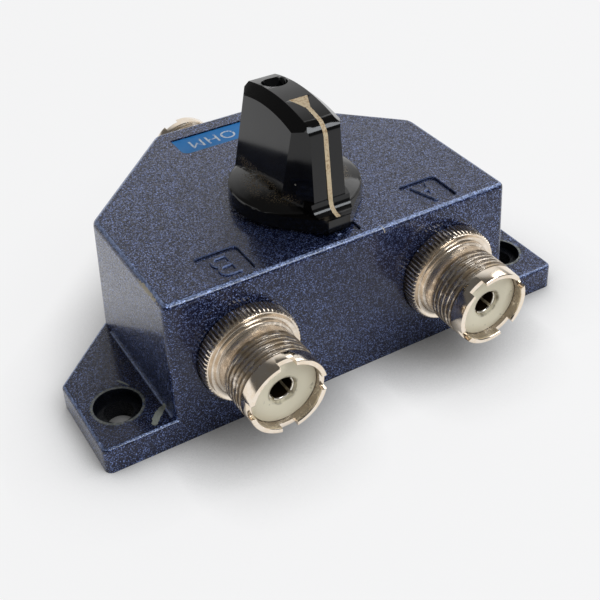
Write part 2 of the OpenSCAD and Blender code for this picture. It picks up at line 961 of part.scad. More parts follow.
// Sector of a ring round the axis, centred on +Y.
module ring_sector(r_in, r_out, half_deg, h) {
    reach = 3 * r_out;
    intersection() {
        difference() {
            cylinder(r = r_out, h = h);
            translate([0, 0, -over])
                cylinder(r = r_in, h = h + 2 * over);
        }
        linear_extrude(h)
            polygon([
                [0, 0],
                [reach * sin(half_deg), reach * cos(half_deg)],
                [reach * sin(half_deg / 2), reach * cos(half_deg / 2)],
                [0, reach],
                [-reach * sin(half_deg / 2), reach * cos(half_deg / 2)],
                [-reach * sin(half_deg), reach * cos(half_deg)]
            ]);
    }
}

module stop_slot() {
    half = turn_deg + slot_margin;
    h = disc_top - stop_low + 0.3 + over;
    translate([0, 0, stop_low - 0.3]) {
        ring_sector(detent_r - stop_slot_r, detent_r + stop_slot_r, half, h);
        for (s = [-1, 1])
            rotate(s * half)
                translate([0, detent_r, 0])
                    cylinder(r = stop_slot_r, h = h);
    }
}

blade_screw_r = 0.7;
blade_screw_x = (hub_stub_r + hub_r) / 2;
blade_screw_top = disc_low + 0.9;
blade_head_r = 1.05;
stub_low = bar_top - bar_t - 0.5;

module rotor_disc() {
    color(cream_colour)
        translate([0, rotor_y, 0])
            difference() {
                union() {
                    translate([0, 0, disc_low])
                        cylinder(r = disc_r, h = disc_top - disc_low);
                    translate([0, 0, blade_top])
                        cylinder(r = hub_r, h = disc_low - blade_top + tiny);
                    translate([0, 0, stub_low])
                        cylinder(r = hub_stub_r, h = blade_top - stub_low + tiny);
                }
                translate([0, 0, shaft_low - 0.05])
                    cylinder(r = shaft_r + seat_gap, h = disc_top);
                translate([0, 0, collar_low])
                    cylinder(r = bush_flange_r + 0.4, h = disc_top);
                for (s = [-1, 1]) {
                    translate([s * detent_r, 0, pocket_low])
                        cylinder(r = pocket_r, h = disc_top);
                    translate([s * blade_screw_x, 0, blade_top - over])
                        cylinder(r = blade_screw_r + seat_gap, h = blade_screw_top - blade_top + over);
                }
                stop_slot();
                translate([0, 0, cross_pin_z])
                    y_rod(cross_pin_r + seat_gap, -disc_r - over, disc_r + over);
            }
}

module rotor_cross_pin() {
    color(steel_colour)
        translate([0, rotor_y, cross_pin_z])
            y_rod(cross_pin_r, -cross_pin_l / 2, cross_pin_l / 2);
}

module blade_screw_cone(gap) {
    cone_h = blade_head_r - blade_screw_r;
    rotate_extrude()
        polygon([
            [0, 0], [blade_head_r + gap, 0],
            [blade_screw_r + gap, cone_h], [0, cone_h]
        ]);
}

module rotor_blade() {
    color(silvered_colour)
        translate([0, rotor_y, blade_low])
            difference() {
                union() {
                    cylinder(r = hub_r, h = blade_t);
                    translate([-blade_w / 2, -blade_r + blade_w / 2, 0])
                        cube([blade_w, blade_r - blade_w / 2, blade_t]);
                    translate([0, -blade_r + blade_w / 2, 0])
                        cylinder(r = blade_w / 2, h = blade_t);
                }
                translate([0, 0, -over])
                    cylinder(r = hub_stub_r + seat_gap, h = blade_t + 2 * over);
                for (s = [-1, 1])
                    translate([s * blade_screw_x, 0, 0]) {
                        translate([0, 0, -over])
                            cylinder(r = blade_screw_r + seat_gap, h = blade_t + 2 * over);
                        translate([0, 0, -tiny])
                            blade_screw_cone(seat_gap);
                    }
            }
}

module blade_screws() {
    color(brass_colour)
        for (s = [-1, 1])
            translate([s * blade_screw_x, rotor_y, blade_low]) {
                blade_screw_cone(0);
                cylinder(r = blade_screw_r, h = blade_screw_top - blade_low - 0.1);
            }
}

module detent_balls() {
    color(steel_colour)
        for (s = [-1, 1])
            translate([s * detent_r, rotor_y, ball_z])
                sphere(r = ball_r);
}

// A spring as one unbroken tube round a helix, with its ends closed.
spring_r = ball_r - 0.3;
spring_low = pocket_low + spring_wire_r + 0.02;
spring_high = ball_z - ball_r - spring_wire_r - 0.02;
spring_pitch = (spring_high - spring_low) / spring_turns;
rings_per_turn = 10;
wire_sides = 6;
spring_rings = spring_turns * rings_per_turn;

function helix_at(t) = [
    spring_r * cos(360 * t), spring_r * sin(360 * t), spring_low + spring_pitch * t
];
function wire_ring(t) =
    let (
        c = helix_at(t),
        out = [cos(360 * t), sin(360 * t), 0],
        along = unit([-sin(360 * t) * 2 * PI * spring_r, cos(360 * t) * 2 * PI * spring_r, spring_pitch]),
        up = cross(along, out)
    )
    [for (k = [0:wire_sides - 1])
        c + spring_wire_r * (cos(360 * k / wire_sides) * out + sin(360 * k / wire_sides) * up)];
spring_points = [for (i = [0:spring_rings]) each wire_ring(i / rings_per_turn)];
spring_faces = concat(
    [for (i = [0:spring_rings - 1], k = [0:wire_sides - 1])
        let (a = i * wire_sides + k, b = i * wire_sides + (k + 1) % wire_sides)
        [a, a + wire_sides, b]],
    [for (i = [0:spring_rings - 1], k = [0:wire_sides - 1])
        let (a = i * wire_sides + k, b = i * wire_sides + (k + 1) % wire_sides)
        [b, a + wire_sides, b + wire_sides]],
    [[for (k = [0:wire_sides - 1]) k]],
    [[for (k = [0:wire_sides - 1]) spring_rings * wire_sides + wire_sides - 1 - k]]
);

module detent_springs() {
    echo("least gap between spring turns", spring_pitch - 2 * spring_wire_r);
    color(steel_colour)
        for (s = [-1, 1])
            translate([s * detent_r, rotor_y, 0])
                polyhedron(points = spring_points, faces = spring_faces);
}

// ---- knob ---------------------------------------------------------------
// The knob's own frame: its foot circle's centre at the origin, its pointer
// along +X, and the box's top face at z = 0.

crown_mid = -0.8;
fin_reach = 20;
nose_bevel = 0.3;
crown_top_half = 2.7;
crown_drop = 1.85;
crown_half = 4.75;
fin_low_z = skirt_h + 0.6;
fin_front_top = 10.15;
fin_front_low = 12.1;
face_half_top = 2.9;
face_half_low = 3.2;
side_half_low = 6.7;
bevel_start = 8.9;
bevel_end_drop = 2;
knob_ceiling = skirt_h + 1;
knob_bore_low = box_h + knob_ceiling;
skirt_inner_r = 9.4;
skirt_dome_r = 9.6;
dome_rise = 1.9;

module knob_place() {
    translate([0, rotor_y, box_h])
        rotate(-90)
            children();
}

// Outline of the fin, seen from above, at its foot and at its crown.
fin_low = [
    [6, side_half_low], [fin_front_low, face_half_low],
    [fin_front_low, -face_half_low], [6, -side_half_low],
    [-10.4, -side_half_low], [-12.5, -5.4], [-12.5, 5.4], [-10.4, side_half_low]
];
fin_high = [
    [7.5, crown_half - 0.35], [fin_front_top - 0.2, face_half_top],
    [fin_front_top - 0.2, -face_half_top], [7.5, -crown_half + 0.35],
    [-8.9, -crown_half + 0.35], [-10.7, -3.3], [-10.7, 3.3], [-8.9, crown_half - 0.35]
];

module fin_block() {
    hull() {
        translate([0, 0, fin_low_z - 1.5])
            linear_extrude(tiny)
                polygon(fin_low);
        translate([0, 0, knob_h])
            linear_extrude(tiny)
                polygon(fin_high);
    }
}

// The crown is turned about a cross axis far below, so that its chamfers
// follow its long curve.
module crown_turn(inset_d) {
    r = crown_r - inset_d;
    slope = crown_drop / (crown_half - crown_top_half);
    far = side_half_low + 2;
    low = r - slope * (far - crown_top_half);
    translate([crown_mid, 0, knob_h - crown_r])
        rotate([90, 0, 0])
            rotate_extrude($fn = 180)
                polygon([
                    [0, -far], [low, -far], [r, -crown_top_half],
                    [r, crown_top_half], [low, far], [0, far]
                ]);
}

function crown_z(x) = knob_h - crown_r + sqrt(pow(crown_r, 2) - pow(x - crown_mid, 2));
bevel_a = [bevel_start, crown_z(bevel_start)];
bevel_b = [bevel_start + 1, crown_z(bevel_start) - 0.9];
bevel_c = [fin_front_top + 0.25, crown_z(bevel_start) - bevel_end_drop];
front_foot = [fin_front_low - 0.1, skirt_h + 1.9];
flare_r = 2;
flare_steps = 5;
flare = [
    for (i = [1:flare_steps])
        let (a = 180 + 84 * i / flare_steps)
        [front_foot.x + flare_r + flare_r * cos(a), front_foot.y + flare_r * sin(a)]
];
ledge_z = flare[flare_steps - 1].y;
front_run = concat([bevel_a, bevel_b, bevel_c, front_foot], flare, [[nose_reach - nose_bevel, ledge_z - 0.1]]);

// Side view of the front of the knob, cut back by d.
function offset_run(p, d) = [
    for (i = [0:len(p) - 1])
        let (
            before = p[max(i - 1, 0)],
            after = p[min(i + 1, len(p) - 1)],
            dir = unit(after - before)
        )
        p[i] + d * [dir.y, -dir.x] * -1
];

module fin_silhouette() {
    polygon(concat(
        [[-fin_reach, knob_lift], [-fin_reach, knob_h + knob_lift], [bevel_start / 2, knob_h + knob_lift]],
        [bevel_a + (bevel_a - bevel_b)], [bevel_b, bevel_c, front_foot],
        flare, [[nose_reach - nose_bevel, ledge_z - 0.1], [nose_reach - nose_bevel, knob_lift]]
    ));
}

module side_view_slab(half) {
    translate([0, half, 0])
        rotate([90, 0, 0])
            linear_extrude(2 * half)
                children();
}

module skirt() {
    dome = skirt_h + dome_rise;
    rotate_extrude($fn = 96)
        polygon([
            [0, knob_lift], [skirt_r - 0.2, knob_lift], [skirt_r, knob_lift + 0.25],
            [skirt_r - 0.15, skirt_h - 0.25], [skirt_r - 0.45, skirt_h],
            [skirt_r - 1.1, skirt_h + 0.25], [skirt_dome_r, skirt_h + dome_rise * 0.45],
            [skirt_dome_r - dome_rise, skirt_h + dome_rise * 0.76],
            [skirt_dome_r - 2.4 * dome_rise, dome], [0, dome]
        ]);
}

nose_half = 2.2;
nose_root_x = 5;
function tangent_turn(p, r) = atan2(p.y, p.x) + acos(r / norm(p));
nose_tangent = skirt_r * [
    cos(tangent_turn([nose_reach, nose_half], skirt_r)),
    sin(tangent_turn([nose_reach, nose_half], skirt_r))
];

module nose() {
    translate([0, 0, knob_lift])
        linear_extrude(ledge_z - 0.25 - knob_lift)
            polygon([
                [0, 0], [nose_tangent.x, -nose_tangent.y], [nose_reach - nose_bevel, -nose_half - nose_bevel],
                [nose_reach, -nose_half], [nose_reach, nose_half],
                [nose_reach - nose_bevel, nose_half + nose_bevel], [nose_tangent.x, nose_tangent.y]
            ]);
    intersection() {
        side_view_slab(face_half_low + 3)
            polygon(concat([[nose_root_x, knob_lift + 0.2], [nose_root_x, front_foot.y], front_foot], flare,
                [[nose_reach - nose_bevel, ledge_z - 0.1], [nose_reach - nose_bevel, knob_lift + 0.2]]));
        translate([0, 0, knob_lift])
            linear_extrude(knob_h)
                polygon([
                    [0, face_half_low + 2.4], [fin_front_low - 1.6, face_half_low + 1.1],
                    [nose_reach - 1.2, nose_half + 1.2], [nose_reach, nose_half],
                    [nose_reach, -nose_half], [nose_reach - 1.2, -nose_half - 1.2],
                    [fin_front_low - 1.6, -face_half_low - 1.1], [0, -face_half_low - 2.4]
                ]);
    }
}

// The set screw's hole slopes from the crown down to the shaft's flat.
screw_tilt = 30;
screw_entry_x = -6.35;
screw_entry_r = 2.35;
screw_r = 2;
screw_l = 5.6;
cone_l = 3.2;
cone_tip_r = 0.3;
flat_x = -(shaft_r - flat_depth);
screw_path_l = (flat_x - screw_entry_x) / sin(screw_tilt);
screw_start = screw_path_l - screw_l - 1.1 * cone_tip_r / tan(screw_tilt) - seat_gap;

module set_screw_place() {
    translate([screw_entry_x, 0, crown_z(screw_entry_x)])
        rotate([0, 180 - screw_tilt, 0])
            children();
}

module pointer_band(inset_top, low) {
    top_line = [
        [-arrow_w / 2, arrow_tail], [arrow_w / 2, arrow_tail],
        [line_w / 2, arrow_tail + arrow_l], [line_w / 2, bevel_start],
        [-line_w / 2, bevel_start], [-line_w / 2, arrow_tail + arrow_l]
    ];
    intersection() {
        difference() {
            crown_turn(inset_top);
            crown_turn(low);
        }
        translate([0, 0, knob_h - 2 * crown_drop])
            linear_extrude(4 * crown_drop)
                polygon([for (p = top_line) [p.y, p.x]]);
    }
    side_view_slab(line_w / 2)
        polygon(concat(offset_run(front_run, -inset_top), reversed(offset_run(front_run, -low))));
}

arrow_tail = 1.6;
function reversed(p) = [for (i = [len(p) - 1:-1:0]) p[i]];

module knob() {
    color(black_colour)
        knob_place()
            difference() {
                union() {
                    intersection() {
                        fin_block();
                        crown_turn(0);
                        side_view_slab(fin_reach)
                            fin_silhouette();
                    }
                    skirt();
                    nose();
                }
                translate([0, 0, -over])
                    cylinder(r = skirt_inner_r, h = skirt_h + 0.1 + over);
                translate([0, 0, -over])
                    cylinder(r = clip_r + 2, h = knob_ceiling + over);
                difference() {
                    cylinder(r = shaft_r + seat_gap, h = shaft_top - box_h + 0.3);
                    translate([flat_x - seat_gap - shaft_r, -shaft_r, knob_ceiling])
                        cube([shaft_r, 2 * shaft_r, knob_h]);
                }
                set_screw_place() {
                    translate([0, 0, -2])
                        cylinder(r = screw_entry_r, h = screw_start + 2);
                    cylinder(r = screw_r + seat_gap, h = screw_path_l);
                }
                pointer_band(-0.3, line_d);
            }
}

module pointer_line() {
    color([0.93, 0.88, 0.78])
        knob_place()
            pointer_band(0.02, line_d - 0.02);
}

module knob_set_screw() {
    color(steel_colour)
        knob_place()
            set_screw_place()
                translate([0, 0, screw_start])
                    difference() {
                        union() {
                            cylinder(r = screw_r, h = screw_l - cone_l);
                            translate([0, 0, screw_l - cone_l])
                                cylinder(r1 = screw_r, r2 = cone_tip_r, h = cone_l);
                        }
                        translate([-screw_r - over, -0.25, -over])
                            cube([2 * screw_r + 2 * over, 0.5, over + 0.8]);
                    }
}

housing();
base_cover();
cover_screws();
label_plate();
socket_shell_a();
socket_shell_b();
socket_shell_common();
socket_insulator_a();
socket_insulator_b();
socket_insulator_common();
socket_contact_a();
socket_contact_b();
socket_contact_common();
contact_jaw_a();
contact_jaw_b();
common_bar();
ground_jaw();
ground_screw();
shaft_bush();
bush_washer();
bush_nut();
detent_plate();
stop_pin();
rotor_shaft();
shaft_clip();
rotor_disc();
rotor_cross_pin();
rotor_blade();
blade_screws();
detent_balls();
detent_springs();
knob();
pointer_line();
knob_set_screw();
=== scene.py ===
import math

import bmesh
import bpy
from mathutils import Matrix, Vector


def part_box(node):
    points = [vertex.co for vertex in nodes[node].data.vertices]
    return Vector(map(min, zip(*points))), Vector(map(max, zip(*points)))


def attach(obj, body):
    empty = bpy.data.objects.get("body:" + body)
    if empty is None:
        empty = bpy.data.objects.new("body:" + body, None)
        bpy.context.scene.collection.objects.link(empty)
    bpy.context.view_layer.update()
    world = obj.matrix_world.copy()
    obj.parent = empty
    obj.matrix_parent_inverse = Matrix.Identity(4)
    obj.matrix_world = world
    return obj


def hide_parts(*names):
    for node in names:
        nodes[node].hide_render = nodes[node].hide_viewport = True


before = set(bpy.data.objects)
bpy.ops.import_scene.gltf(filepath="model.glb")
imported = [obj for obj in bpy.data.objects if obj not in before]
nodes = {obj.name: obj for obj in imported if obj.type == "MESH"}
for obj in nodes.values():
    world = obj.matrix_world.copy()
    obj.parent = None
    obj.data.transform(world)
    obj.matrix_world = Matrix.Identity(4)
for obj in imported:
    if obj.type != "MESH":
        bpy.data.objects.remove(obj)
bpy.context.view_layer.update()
mm = 0.001


# ---- camera and studio --------------------------------------------------------
# The box stands on a white table under two soft lamps. The camera looks down on it
# from the front left, through a fairly long lens, and stands a little askew.

camera_at = Vector((-78.837, -123.704, 125.995)) * mm
camera_aim = Vector((-3.535, 3.143, 9.761)) * mm
camera_roll = math.radians(-1.0246)
sensor_mm = 36
lens_mm = 60.018

camera = bpy.data.objects.new("camera", bpy.data.cameras.new("camera"))
camera.data.sensor_width = sensor_mm
camera.data.lens = lens_mm
camera.data.clip_start = 5 * mm
camera.data.clip_end = 20
back = (camera_at - camera_aim).normalized()
level_right = Vector((0, 0, 1)).cross(back).normalized()
level_up = back.cross(level_right)
right = level_right * math.cos(camera_roll) + level_up * math.sin(camera_roll)
up = level_up * math.cos(camera_roll) - level_right * math.sin(camera_roll)
camera.matrix_world = Matrix.Translation(camera_at) @ Matrix((right, up, back)).transposed().to_4x4()
bpy.context.scene.collection.objects.link(camera)
bpy.context.scene.camera = camera


def put(tree, kind, inputs=None, **settings):
    """Adds a node, sets its properties, and sets or links its inputs by name or number."""
    node = tree.nodes.new(kind)
    for name, value in settings.items():
        setattr(node, name, value)
    for key, value in (inputs or {}).items():
        if isinstance(value, bpy.types.NodeSocket):
            tree.links.new(value, node.inputs[key])
        else:
            node.inputs[key].default_value = value
    return node


def new_material(name):
    """A material with nothing in its node tree, and that tree."""
    material = bpy.data.materials.new(name)
    material.use_nodes = True
    material.node_tree.nodes.clear()
    return material, material.node_tree


def show(tree, shader):
    """Joins a shader to the material's output."""
    put(tree, "ShaderNodeOutputMaterial", {"Surface": shader})


def reckon(tree, operation, a, b=0.0):
    """One sum in a node tree."""
    return put(tree, "ShaderNodeMath", {0: a, 1: b}, operation=operation).outputs[0]


def product(tree, first, *others):
    """The product of several values."""
    for other in others:
        first = reckon(tree, "MULTIPLY", first, other)
    return first


def largest(tree, first, *others):
    """The largest of several values."""
    for other in others:
        first = reckon(tree, "MAXIMUM", first, other)
    return first


def ramp(tree, value, start, end, low=0.0, high=1.0):
    """A smooth step from low to high as the value goes from start to end."""
    return put(tree, "ShaderNodeMapRange", {
        "Value": value, "From Min": start, "From Max": end, "To Min": low, "To Max": high},
        interpolation_type="SMOOTHSTEP").outputs["Result"]


def blend_colour(tree, factor, a, b):
    """Colour a where the factor is 0, and b where it is 1."""
    return put(tree, "ShaderNodeMix", {0: factor, 6: a, 7: b}, data_type="RGBA").outputs[2]


table_white = (0.95, 0.95, 0.955, 1)
table_half = 3.0
table_glow = 0.90
shade_reach = 16 * mm
shade_colour = (0.07, 0.065, 0.06, 1)

table_mesh = bpy.data.meshes.new("table")
table_mesh.from_pydata(
    [(-table_half, -table_half, 0), (table_half, -table_half, 0),
     (table_half, table_half, 0), (-table_half, table_half, 0)],
    [], [(0, 1, 2, 3)])
table = bpy.data.objects.new("table", table_mesh)
bpy.context.scene.collection.objects.link(table)
table_paint, tree = new_material("table_white")
# Painted shade: near the box the floor's colour is drawn towards shade_colour and its glow is dimmed, as far
# as the box hides the sky.
open_sky = put(tree, "ShaderNodeAmbientOcclusion", {"Distance": shade_reach}, samples=8).outputs["AO"]
open_floor = reckon(tree, "POWER", open_sky, 2.0)
lit = put(tree, "ShaderNodeBsdfPrincipled", {
    "Base Color": blend_colour(tree, open_floor, shade_colour, table_white),
    "Roughness": 0.55, "Specular IOR Level": 0.3})
path = put(tree, "ShaderNodeLightPath").outputs
seen = largest(tree, path["Is Camera Ray"], path["Is Glossy Ray"], path["Is Transmission Ray"])
glow = put(tree, "ShaderNodeEmission", {"Color": table_white, "Strength": 1.0})
show(tree, put(tree, "ShaderNodeMixShader", {
    0: product(tree, seen, open_floor, table_glow), 1: lit.outputs[0], 2: glow.outputs[0]}).outputs[0])
table_mesh.materials.append(table_paint)

lamp_aim = Vector((0, 10, 15)) * mm
key_watts = 1.3
key_size = (0.50, 0.50)
key_from = Vector((0.58, 0.14, 0.52))
front_watts = 2.9
front_size = (0.46, 0.28)
front_from = Vector((0.28, -0.52, 0.66))
front_colour = (0.92, 0.96, 1.0)


def soft_lamp(name, at, size, watts):
    """A flat soft lamp that faces the middle of the box."""
    lamp = bpy.data.objects.new(name, bpy.data.lights.new(name, "AREA"))
    lamp.data.shape = "RECTANGLE"
    lamp.data.size, lamp.data.size_y = size
    lamp.data.energy = watts
    lamp.location = at
    lamp.rotation_euler = (at - lamp_aim).to_track_quat("Z", "Y").to_euler()
    bpy.context.scene.collection.objects.link(lamp)
    return lamp


soft_lamp("key_lamp", key_from, key_size, key_watts)
soft_lamp("front_lamp", front_from, front_size, front_watts).data.color = front_colour

# The room is bright on one side and along the horizon, and dark elsewhere.
bright_side = Vector((0.42, 0.80, 0.42)).normalized()
bright_from, bright_to = 0.78, 0.95
room_bright = 0.84
room_dark = 0.10
horizon_top, horizon_foot = 0.26, 0.06
horizon_bright = 0.90

world = bpy.data.worlds.new("white_room")
world.use_nodes = True
world.node_tree.nodes.clear()
tree = world.node_tree
place = put(tree, "ShaderNodeTexCoord").outputs["Generated"]
towards = put(tree, "ShaderNodeVectorMath", {0: place, 1: bright_side}, operation="DOT_PRODUCT")
level = put(tree, "ShaderNodeMapRange", {
    "Value": towards.outputs["Value"], "From Min": bright_from, "From Max": bright_to,
    "To Min": room_dark, "To Max": room_bright}).outputs["Result"]
height = put(tree, "ShaderNodeSeparateXYZ", {0: place}).outputs["Z"]
horizon = ramp(tree, height, horizon_top, horizon_foot, 0.0, horizon_bright)
path = put(tree, "ShaderNodeLightPath").outputs
seen = largest(tree, path["Is Camera Ray"], path["Is Transmission Ray"])
strength = put(tree, "ShaderNodeMix", {"Factor": seen, "A": largest(tree, level, horizon), "B": 1.0})
room = put(tree, "ShaderNodeBackground", {"Color": (1, 1, 1, 1), "Strength": strength.outputs["Result"]})
put(tree, "ShaderNodeOutputWorld", {"Surface": room.outputs[0]})
bpy.context.scene.world = world
bpy.context.scene.view_settings.view_transform = "Standard"


# ---- housing ------------------------------------------------------------------
# The box is die-cast in one piece with its two mounting ears, and painted with a dark
# blue metal-flake lacquer. It is chipped here and there, and a painted highlight lies on its edges.

paint_dark = (0.0025, 0.0032, 0.014, 1)
paint_mid = (0.005, 0.011, 0.056, 1)
paint_bright = (0.25, 0.345, 0.72, 1)
# The lighter blue of the painted highlights on the edges and the letters' sides.
highlight_blue = (0.36, 0.46, 0.76, 1)
bare_casting = (0.40, 0.42, 0.37, 1)
primer_cream = (0.62, 0.55, 0.42, 1)
# Near black, for the ear bores and their scuffs, and for the painted shade at the panels' feet.
dirt_and_shade_black = (0.006, 0.007, 0.010, 1)
flake_per_m = 6600
flake_tilt = 0.85
flake_metal = 0.58
bare_gloss = 0.15
lacquer_gloss = 0.58
housing_edge = 0.22 * mm
panel_x = 21 * mm
panel_y = -1.88 * mm
panel_half_w = 4.1 * mm
panel_half_d = 3.85 * mm
panel_floor_z = 27.75 * mm
ear_hole_x = 42.45 * mm
ear_bore_r = 4.25 * mm
ear_top_z = 5.05 * mm

# Each chip: its middle in millimetres, its turn in degrees, its half size in millimetres,
# and its bend.
chip_places = [
    ((-35.2, -0.8, 28.0), 0.5, (0.75, 6.4, 1.0), 0.25),
    ((-37.5, -5.8, 5.05), -46.0, (0.70, 2.9, 0.9), -0.5),
    ((7.7, -7.9, 27.7), 20.0, (0.10, 2.6, 0.7), 0.0),
    ((-39.4, 4.9, 5.05), 30.0, (0.22, 1.5, 0.5), 0.3),
    ((-36.0, 10.5, 21.0), 0.0, (1.0, 0.16, 2.4), 0.0),
    ((35.0, 12.0, 28.0), 0.0, (0.5, 2.2, 0.6), 0.0),
]


def dressed_copy(node, name, edge, steps=2):
    """A merged copy of a CAD node's mesh, with its sharp edges broken by the given width."""
    mesh = nodes[node].data.copy()
    mesh.name = name
    body = bmesh.new()
    body.from_mesh(mesh)
    bmesh.ops.remove_doubles(body, verts=body.verts, dist=0.001 * mm)
    bmesh.ops.dissolve_limit(body, angle_limit=math.radians(0.5), verts=body.verts, edges=body.edges)
    body.to_mesh(mesh)
    body.free()
    mesh.materials.clear()
    mesh.shade_smooth()
    copy = bpy.data.objects.new(name, mesh)
    bpy.context.scene.collection.objects.link(copy)
    bevel = copy.modifiers.new("broken_edges", "BEVEL")
    bevel.width = edge
    bevel.segments = steps
    bevel.limit_method = "ANGLE"
    bevel.angle_limit = math.radians(28)
    bevel.miter_outer = "MITER_ARC"
    level = copy.modifiers.new("flat_faces", "WEIGHTED_NORMAL")
    level.mode = "FACE_AREA"
    level.weight = 100
    level.keep_sharp = True
    return copy


def new_group(name, inputs, outputs):
    """A shader node group with inputs given as (name, type, value) and outputs as (name, type)."""
    group = bpy.data.node_groups.new(name, "ShaderNodeTree")
    for label, kind, value in inputs:
        socket = group.interface.new_socket(name=label, in_out="INPUT", socket_type=kind)
        socket.default_value = value
    for label, kind in outputs:
        group.interface.new_socket(name=label, in_out="OUTPUT", socket_type=kind)
    return group, group.nodes.new("NodeGroupInput").outputs, group.nodes.new("NodeGroupOutput").inputs


def object_place(tree):
    """The point in Object coordinates, and its three parts by name."""
    point = put(tree, "ShaderNodeTexCoord").outputs["Object"]
    return point, put(tree, "ShaderNodeSeparateXYZ", {0: point}).outputs


def facing_up(tree):
    """How far the surface faces up: 1 on a level face, 0 on a wall."""
    normal = put(tree, "ShaderNodeNewGeometry").outputs["Normal"]
    return put(tree, "ShaderNodeSeparateXYZ", {0: normal}).outputs["Z"]


def noise(tree, place, scale, detail, **others):
    """A cloudy value at each place, with about this many clouds to the metre."""
    return put(tree, "ShaderNodeTexNoise", {
        "Vector": place, "Scale": scale, "Detail": detail, **others}).outputs["Fac"]


def reckon_vector(tree, operation, a, b=(0, 0, 0)):
    """One sum of vectors in a node tree."""
    return put(tree, "ShaderNodeVectorMath", {0: a, 1: b}, operation=operation).outputs[0]


def show_surface(tree, inputs):
    """Joins a Principled surface with these inputs to the material's output."""
    show(tree, put(tree, "ShaderNodeBsdfPrincipled", inputs).outputs["BSDF"])


def metal_flake_group():
    """Random flat flakes: a value for each flake, and a normal that is tilted flake by flake."""
    group, given, out = new_group(
        "metal_flake",
        [("Flakes Per Metre", "NodeSocketFloat", 4000.0), ("Tilt", "NodeSocketFloat", 0.3)],
        [("Flake", "NodeSocketFloat"), ("Normal", "NodeSocketVector")])
    place = put(group, "ShaderNodeTexCoord").outputs["Object"]
    cell = put(group, "ShaderNodeTexVoronoi", {
        "Vector": place, "Scale": given["Flakes Per Metre"]}).outputs["Color"]
    centred = reckon_vector(group, "SUBTRACT", cell, (0.5, 0.5, 0.5))
    tilted = reckon_vector(group, "MULTIPLY", centred, given["Tilt"])
    normal = put(group, "ShaderNodeNewGeometry").outputs["Normal"]
    summed = reckon_vector(group, "ADD", normal, tilted)
    value = put(group, "ShaderNodeSeparateColor", {"Color": cell}).outputs[0]
    group.links.new(value, out["Flake"])
    group.links.new(reckon_vector(group, "NORMALIZE", summed), out["Normal"])
    return group


def scar_group():
    """A long ragged chip: one where the surface lies inside a stretched ball."""
    group, given, out = new_group(
        "scar",
        [("Middle", "NodeSocketVector", (0, 0, 0)), ("Turn", "NodeSocketFloat", 0.0),
         ("Half Size", "NodeSocketVector", (0.001, 0.001, 0.001)), ("Bend", "NodeSocketFloat", 0.0)],
        [("Mask", "NodeSocketFloat")])
    place = put(group, "ShaderNodeTexCoord").outputs["Object"]
    turned_back = put(group, "ShaderNodeVectorRotate", {
        "Vector": reckon_vector(group, "SUBTRACT", place, given["Middle"]),
        "Angle": product(group, given["Turn"], -1.0)}, rotation_type="Z_AXIS").outputs[0]
    scaled = reckon_vector(group, "DIVIDE", turned_back, given["Half Size"])
    part = put(group, "ShaderNodeSeparateXYZ", {0: scaled}).outputs
    bow = product(group, part["Y"], part["Y"], given["Bend"])
    bowed = put(group, "ShaderNodeCombineXYZ", {
        "X": reckon(group, "ADD", part["X"], bow), "Y": part["Y"], "Z": part["Z"]})
    distance = put(group, "ShaderNodeVectorMath", {0: bowed.outputs[0]}, operation="LENGTH").outputs["Value"]
    ragged = product(group, noise(group, place, 1500.0, 3.0), 0.7)
    group.links.new(ramp(group, reckon(group, "ADD", distance, ragged), 1.36, 1.28), out["Mask"])
    return group


metal_flake = metal_flake_group()
scar = scar_group()

flake_paint, tree = new_material("flake_paint")
flakes = put(tree, "ShaderNodeGroup", {
    "Flakes Per Metre": flake_per_m, "Tilt": flake_tilt}, node_tree=metal_flake).outputs
shades = put(tree, "ShaderNodeValToRGB", {"Fac": flakes["Flake"]})
shades.color_ramp.elements[0].color = paint_dark
shades.color_ramp.elements[1].color = paint_bright
shades.color_ramp.elements.new(0.72).color = paint_mid
place, at = object_place(tree)
from_middle = reckon(tree, "ABSOLUTE", at["X"])
slope = facing_up(tree)
cloud = noise(tree, place, 900.0, 4.0)
broad = noise(tree, place, 60.0, 3.0)

# Painted shade darkens the foot of the walls of the three sunk panels.
from_side_panel = reckon(tree, "ABSOLUTE", reckon(tree, "SUBTRACT", from_middle, panel_x))
from_panel = reckon(tree, "MINIMUM", from_middle, from_side_panel)
past_x = reckon(tree, "SUBTRACT", from_panel, panel_half_w)
from_row = reckon(tree, "ABSOLUTE", reckon(tree, "SUBTRACT", at["Y"], panel_y))
past_y = reckon(tree, "SUBTRACT", from_row, panel_half_d)
past_wall = largest(tree, past_x, past_y)
from_wall = reckon(tree, "ABSOLUTE", past_wall)
panel_foot_shade = product(
    tree, ramp(tree, from_wall, 0.10 * mm, 0.02 * mm),
    ramp(tree, at["Z"], panel_floor_z - 0.45 * mm, panel_floor_z - 0.25 * mm),
    ramp(tree, at["Z"], panel_floor_z + 0.11 * mm, panel_floor_z + 0.05 * mm))

# A lighter blue painted highlight lies on the raised letters' sides and at the top of the
# panels' walls.
upright = product(tree, ramp(tree, slope, 0.7, 0.35),
                  ramp(tree, at["Z"], panel_floor_z - 0.15 * mm, panel_floor_z - 0.05 * mm))
letter_side = ramp(tree, past_wall, -0.45 * mm, -0.60 * mm)
wall_top = product(tree, ramp(tree, from_wall, 0.25 * mm, 0.15 * mm),
                   ramp(tree, at["Z"], panel_floor_z + 0.09 * mm, panel_floor_z + 0.15 * mm, 0.0, 0.45))
side_highlight = product(tree, upright, largest(tree, letter_side, wall_top))

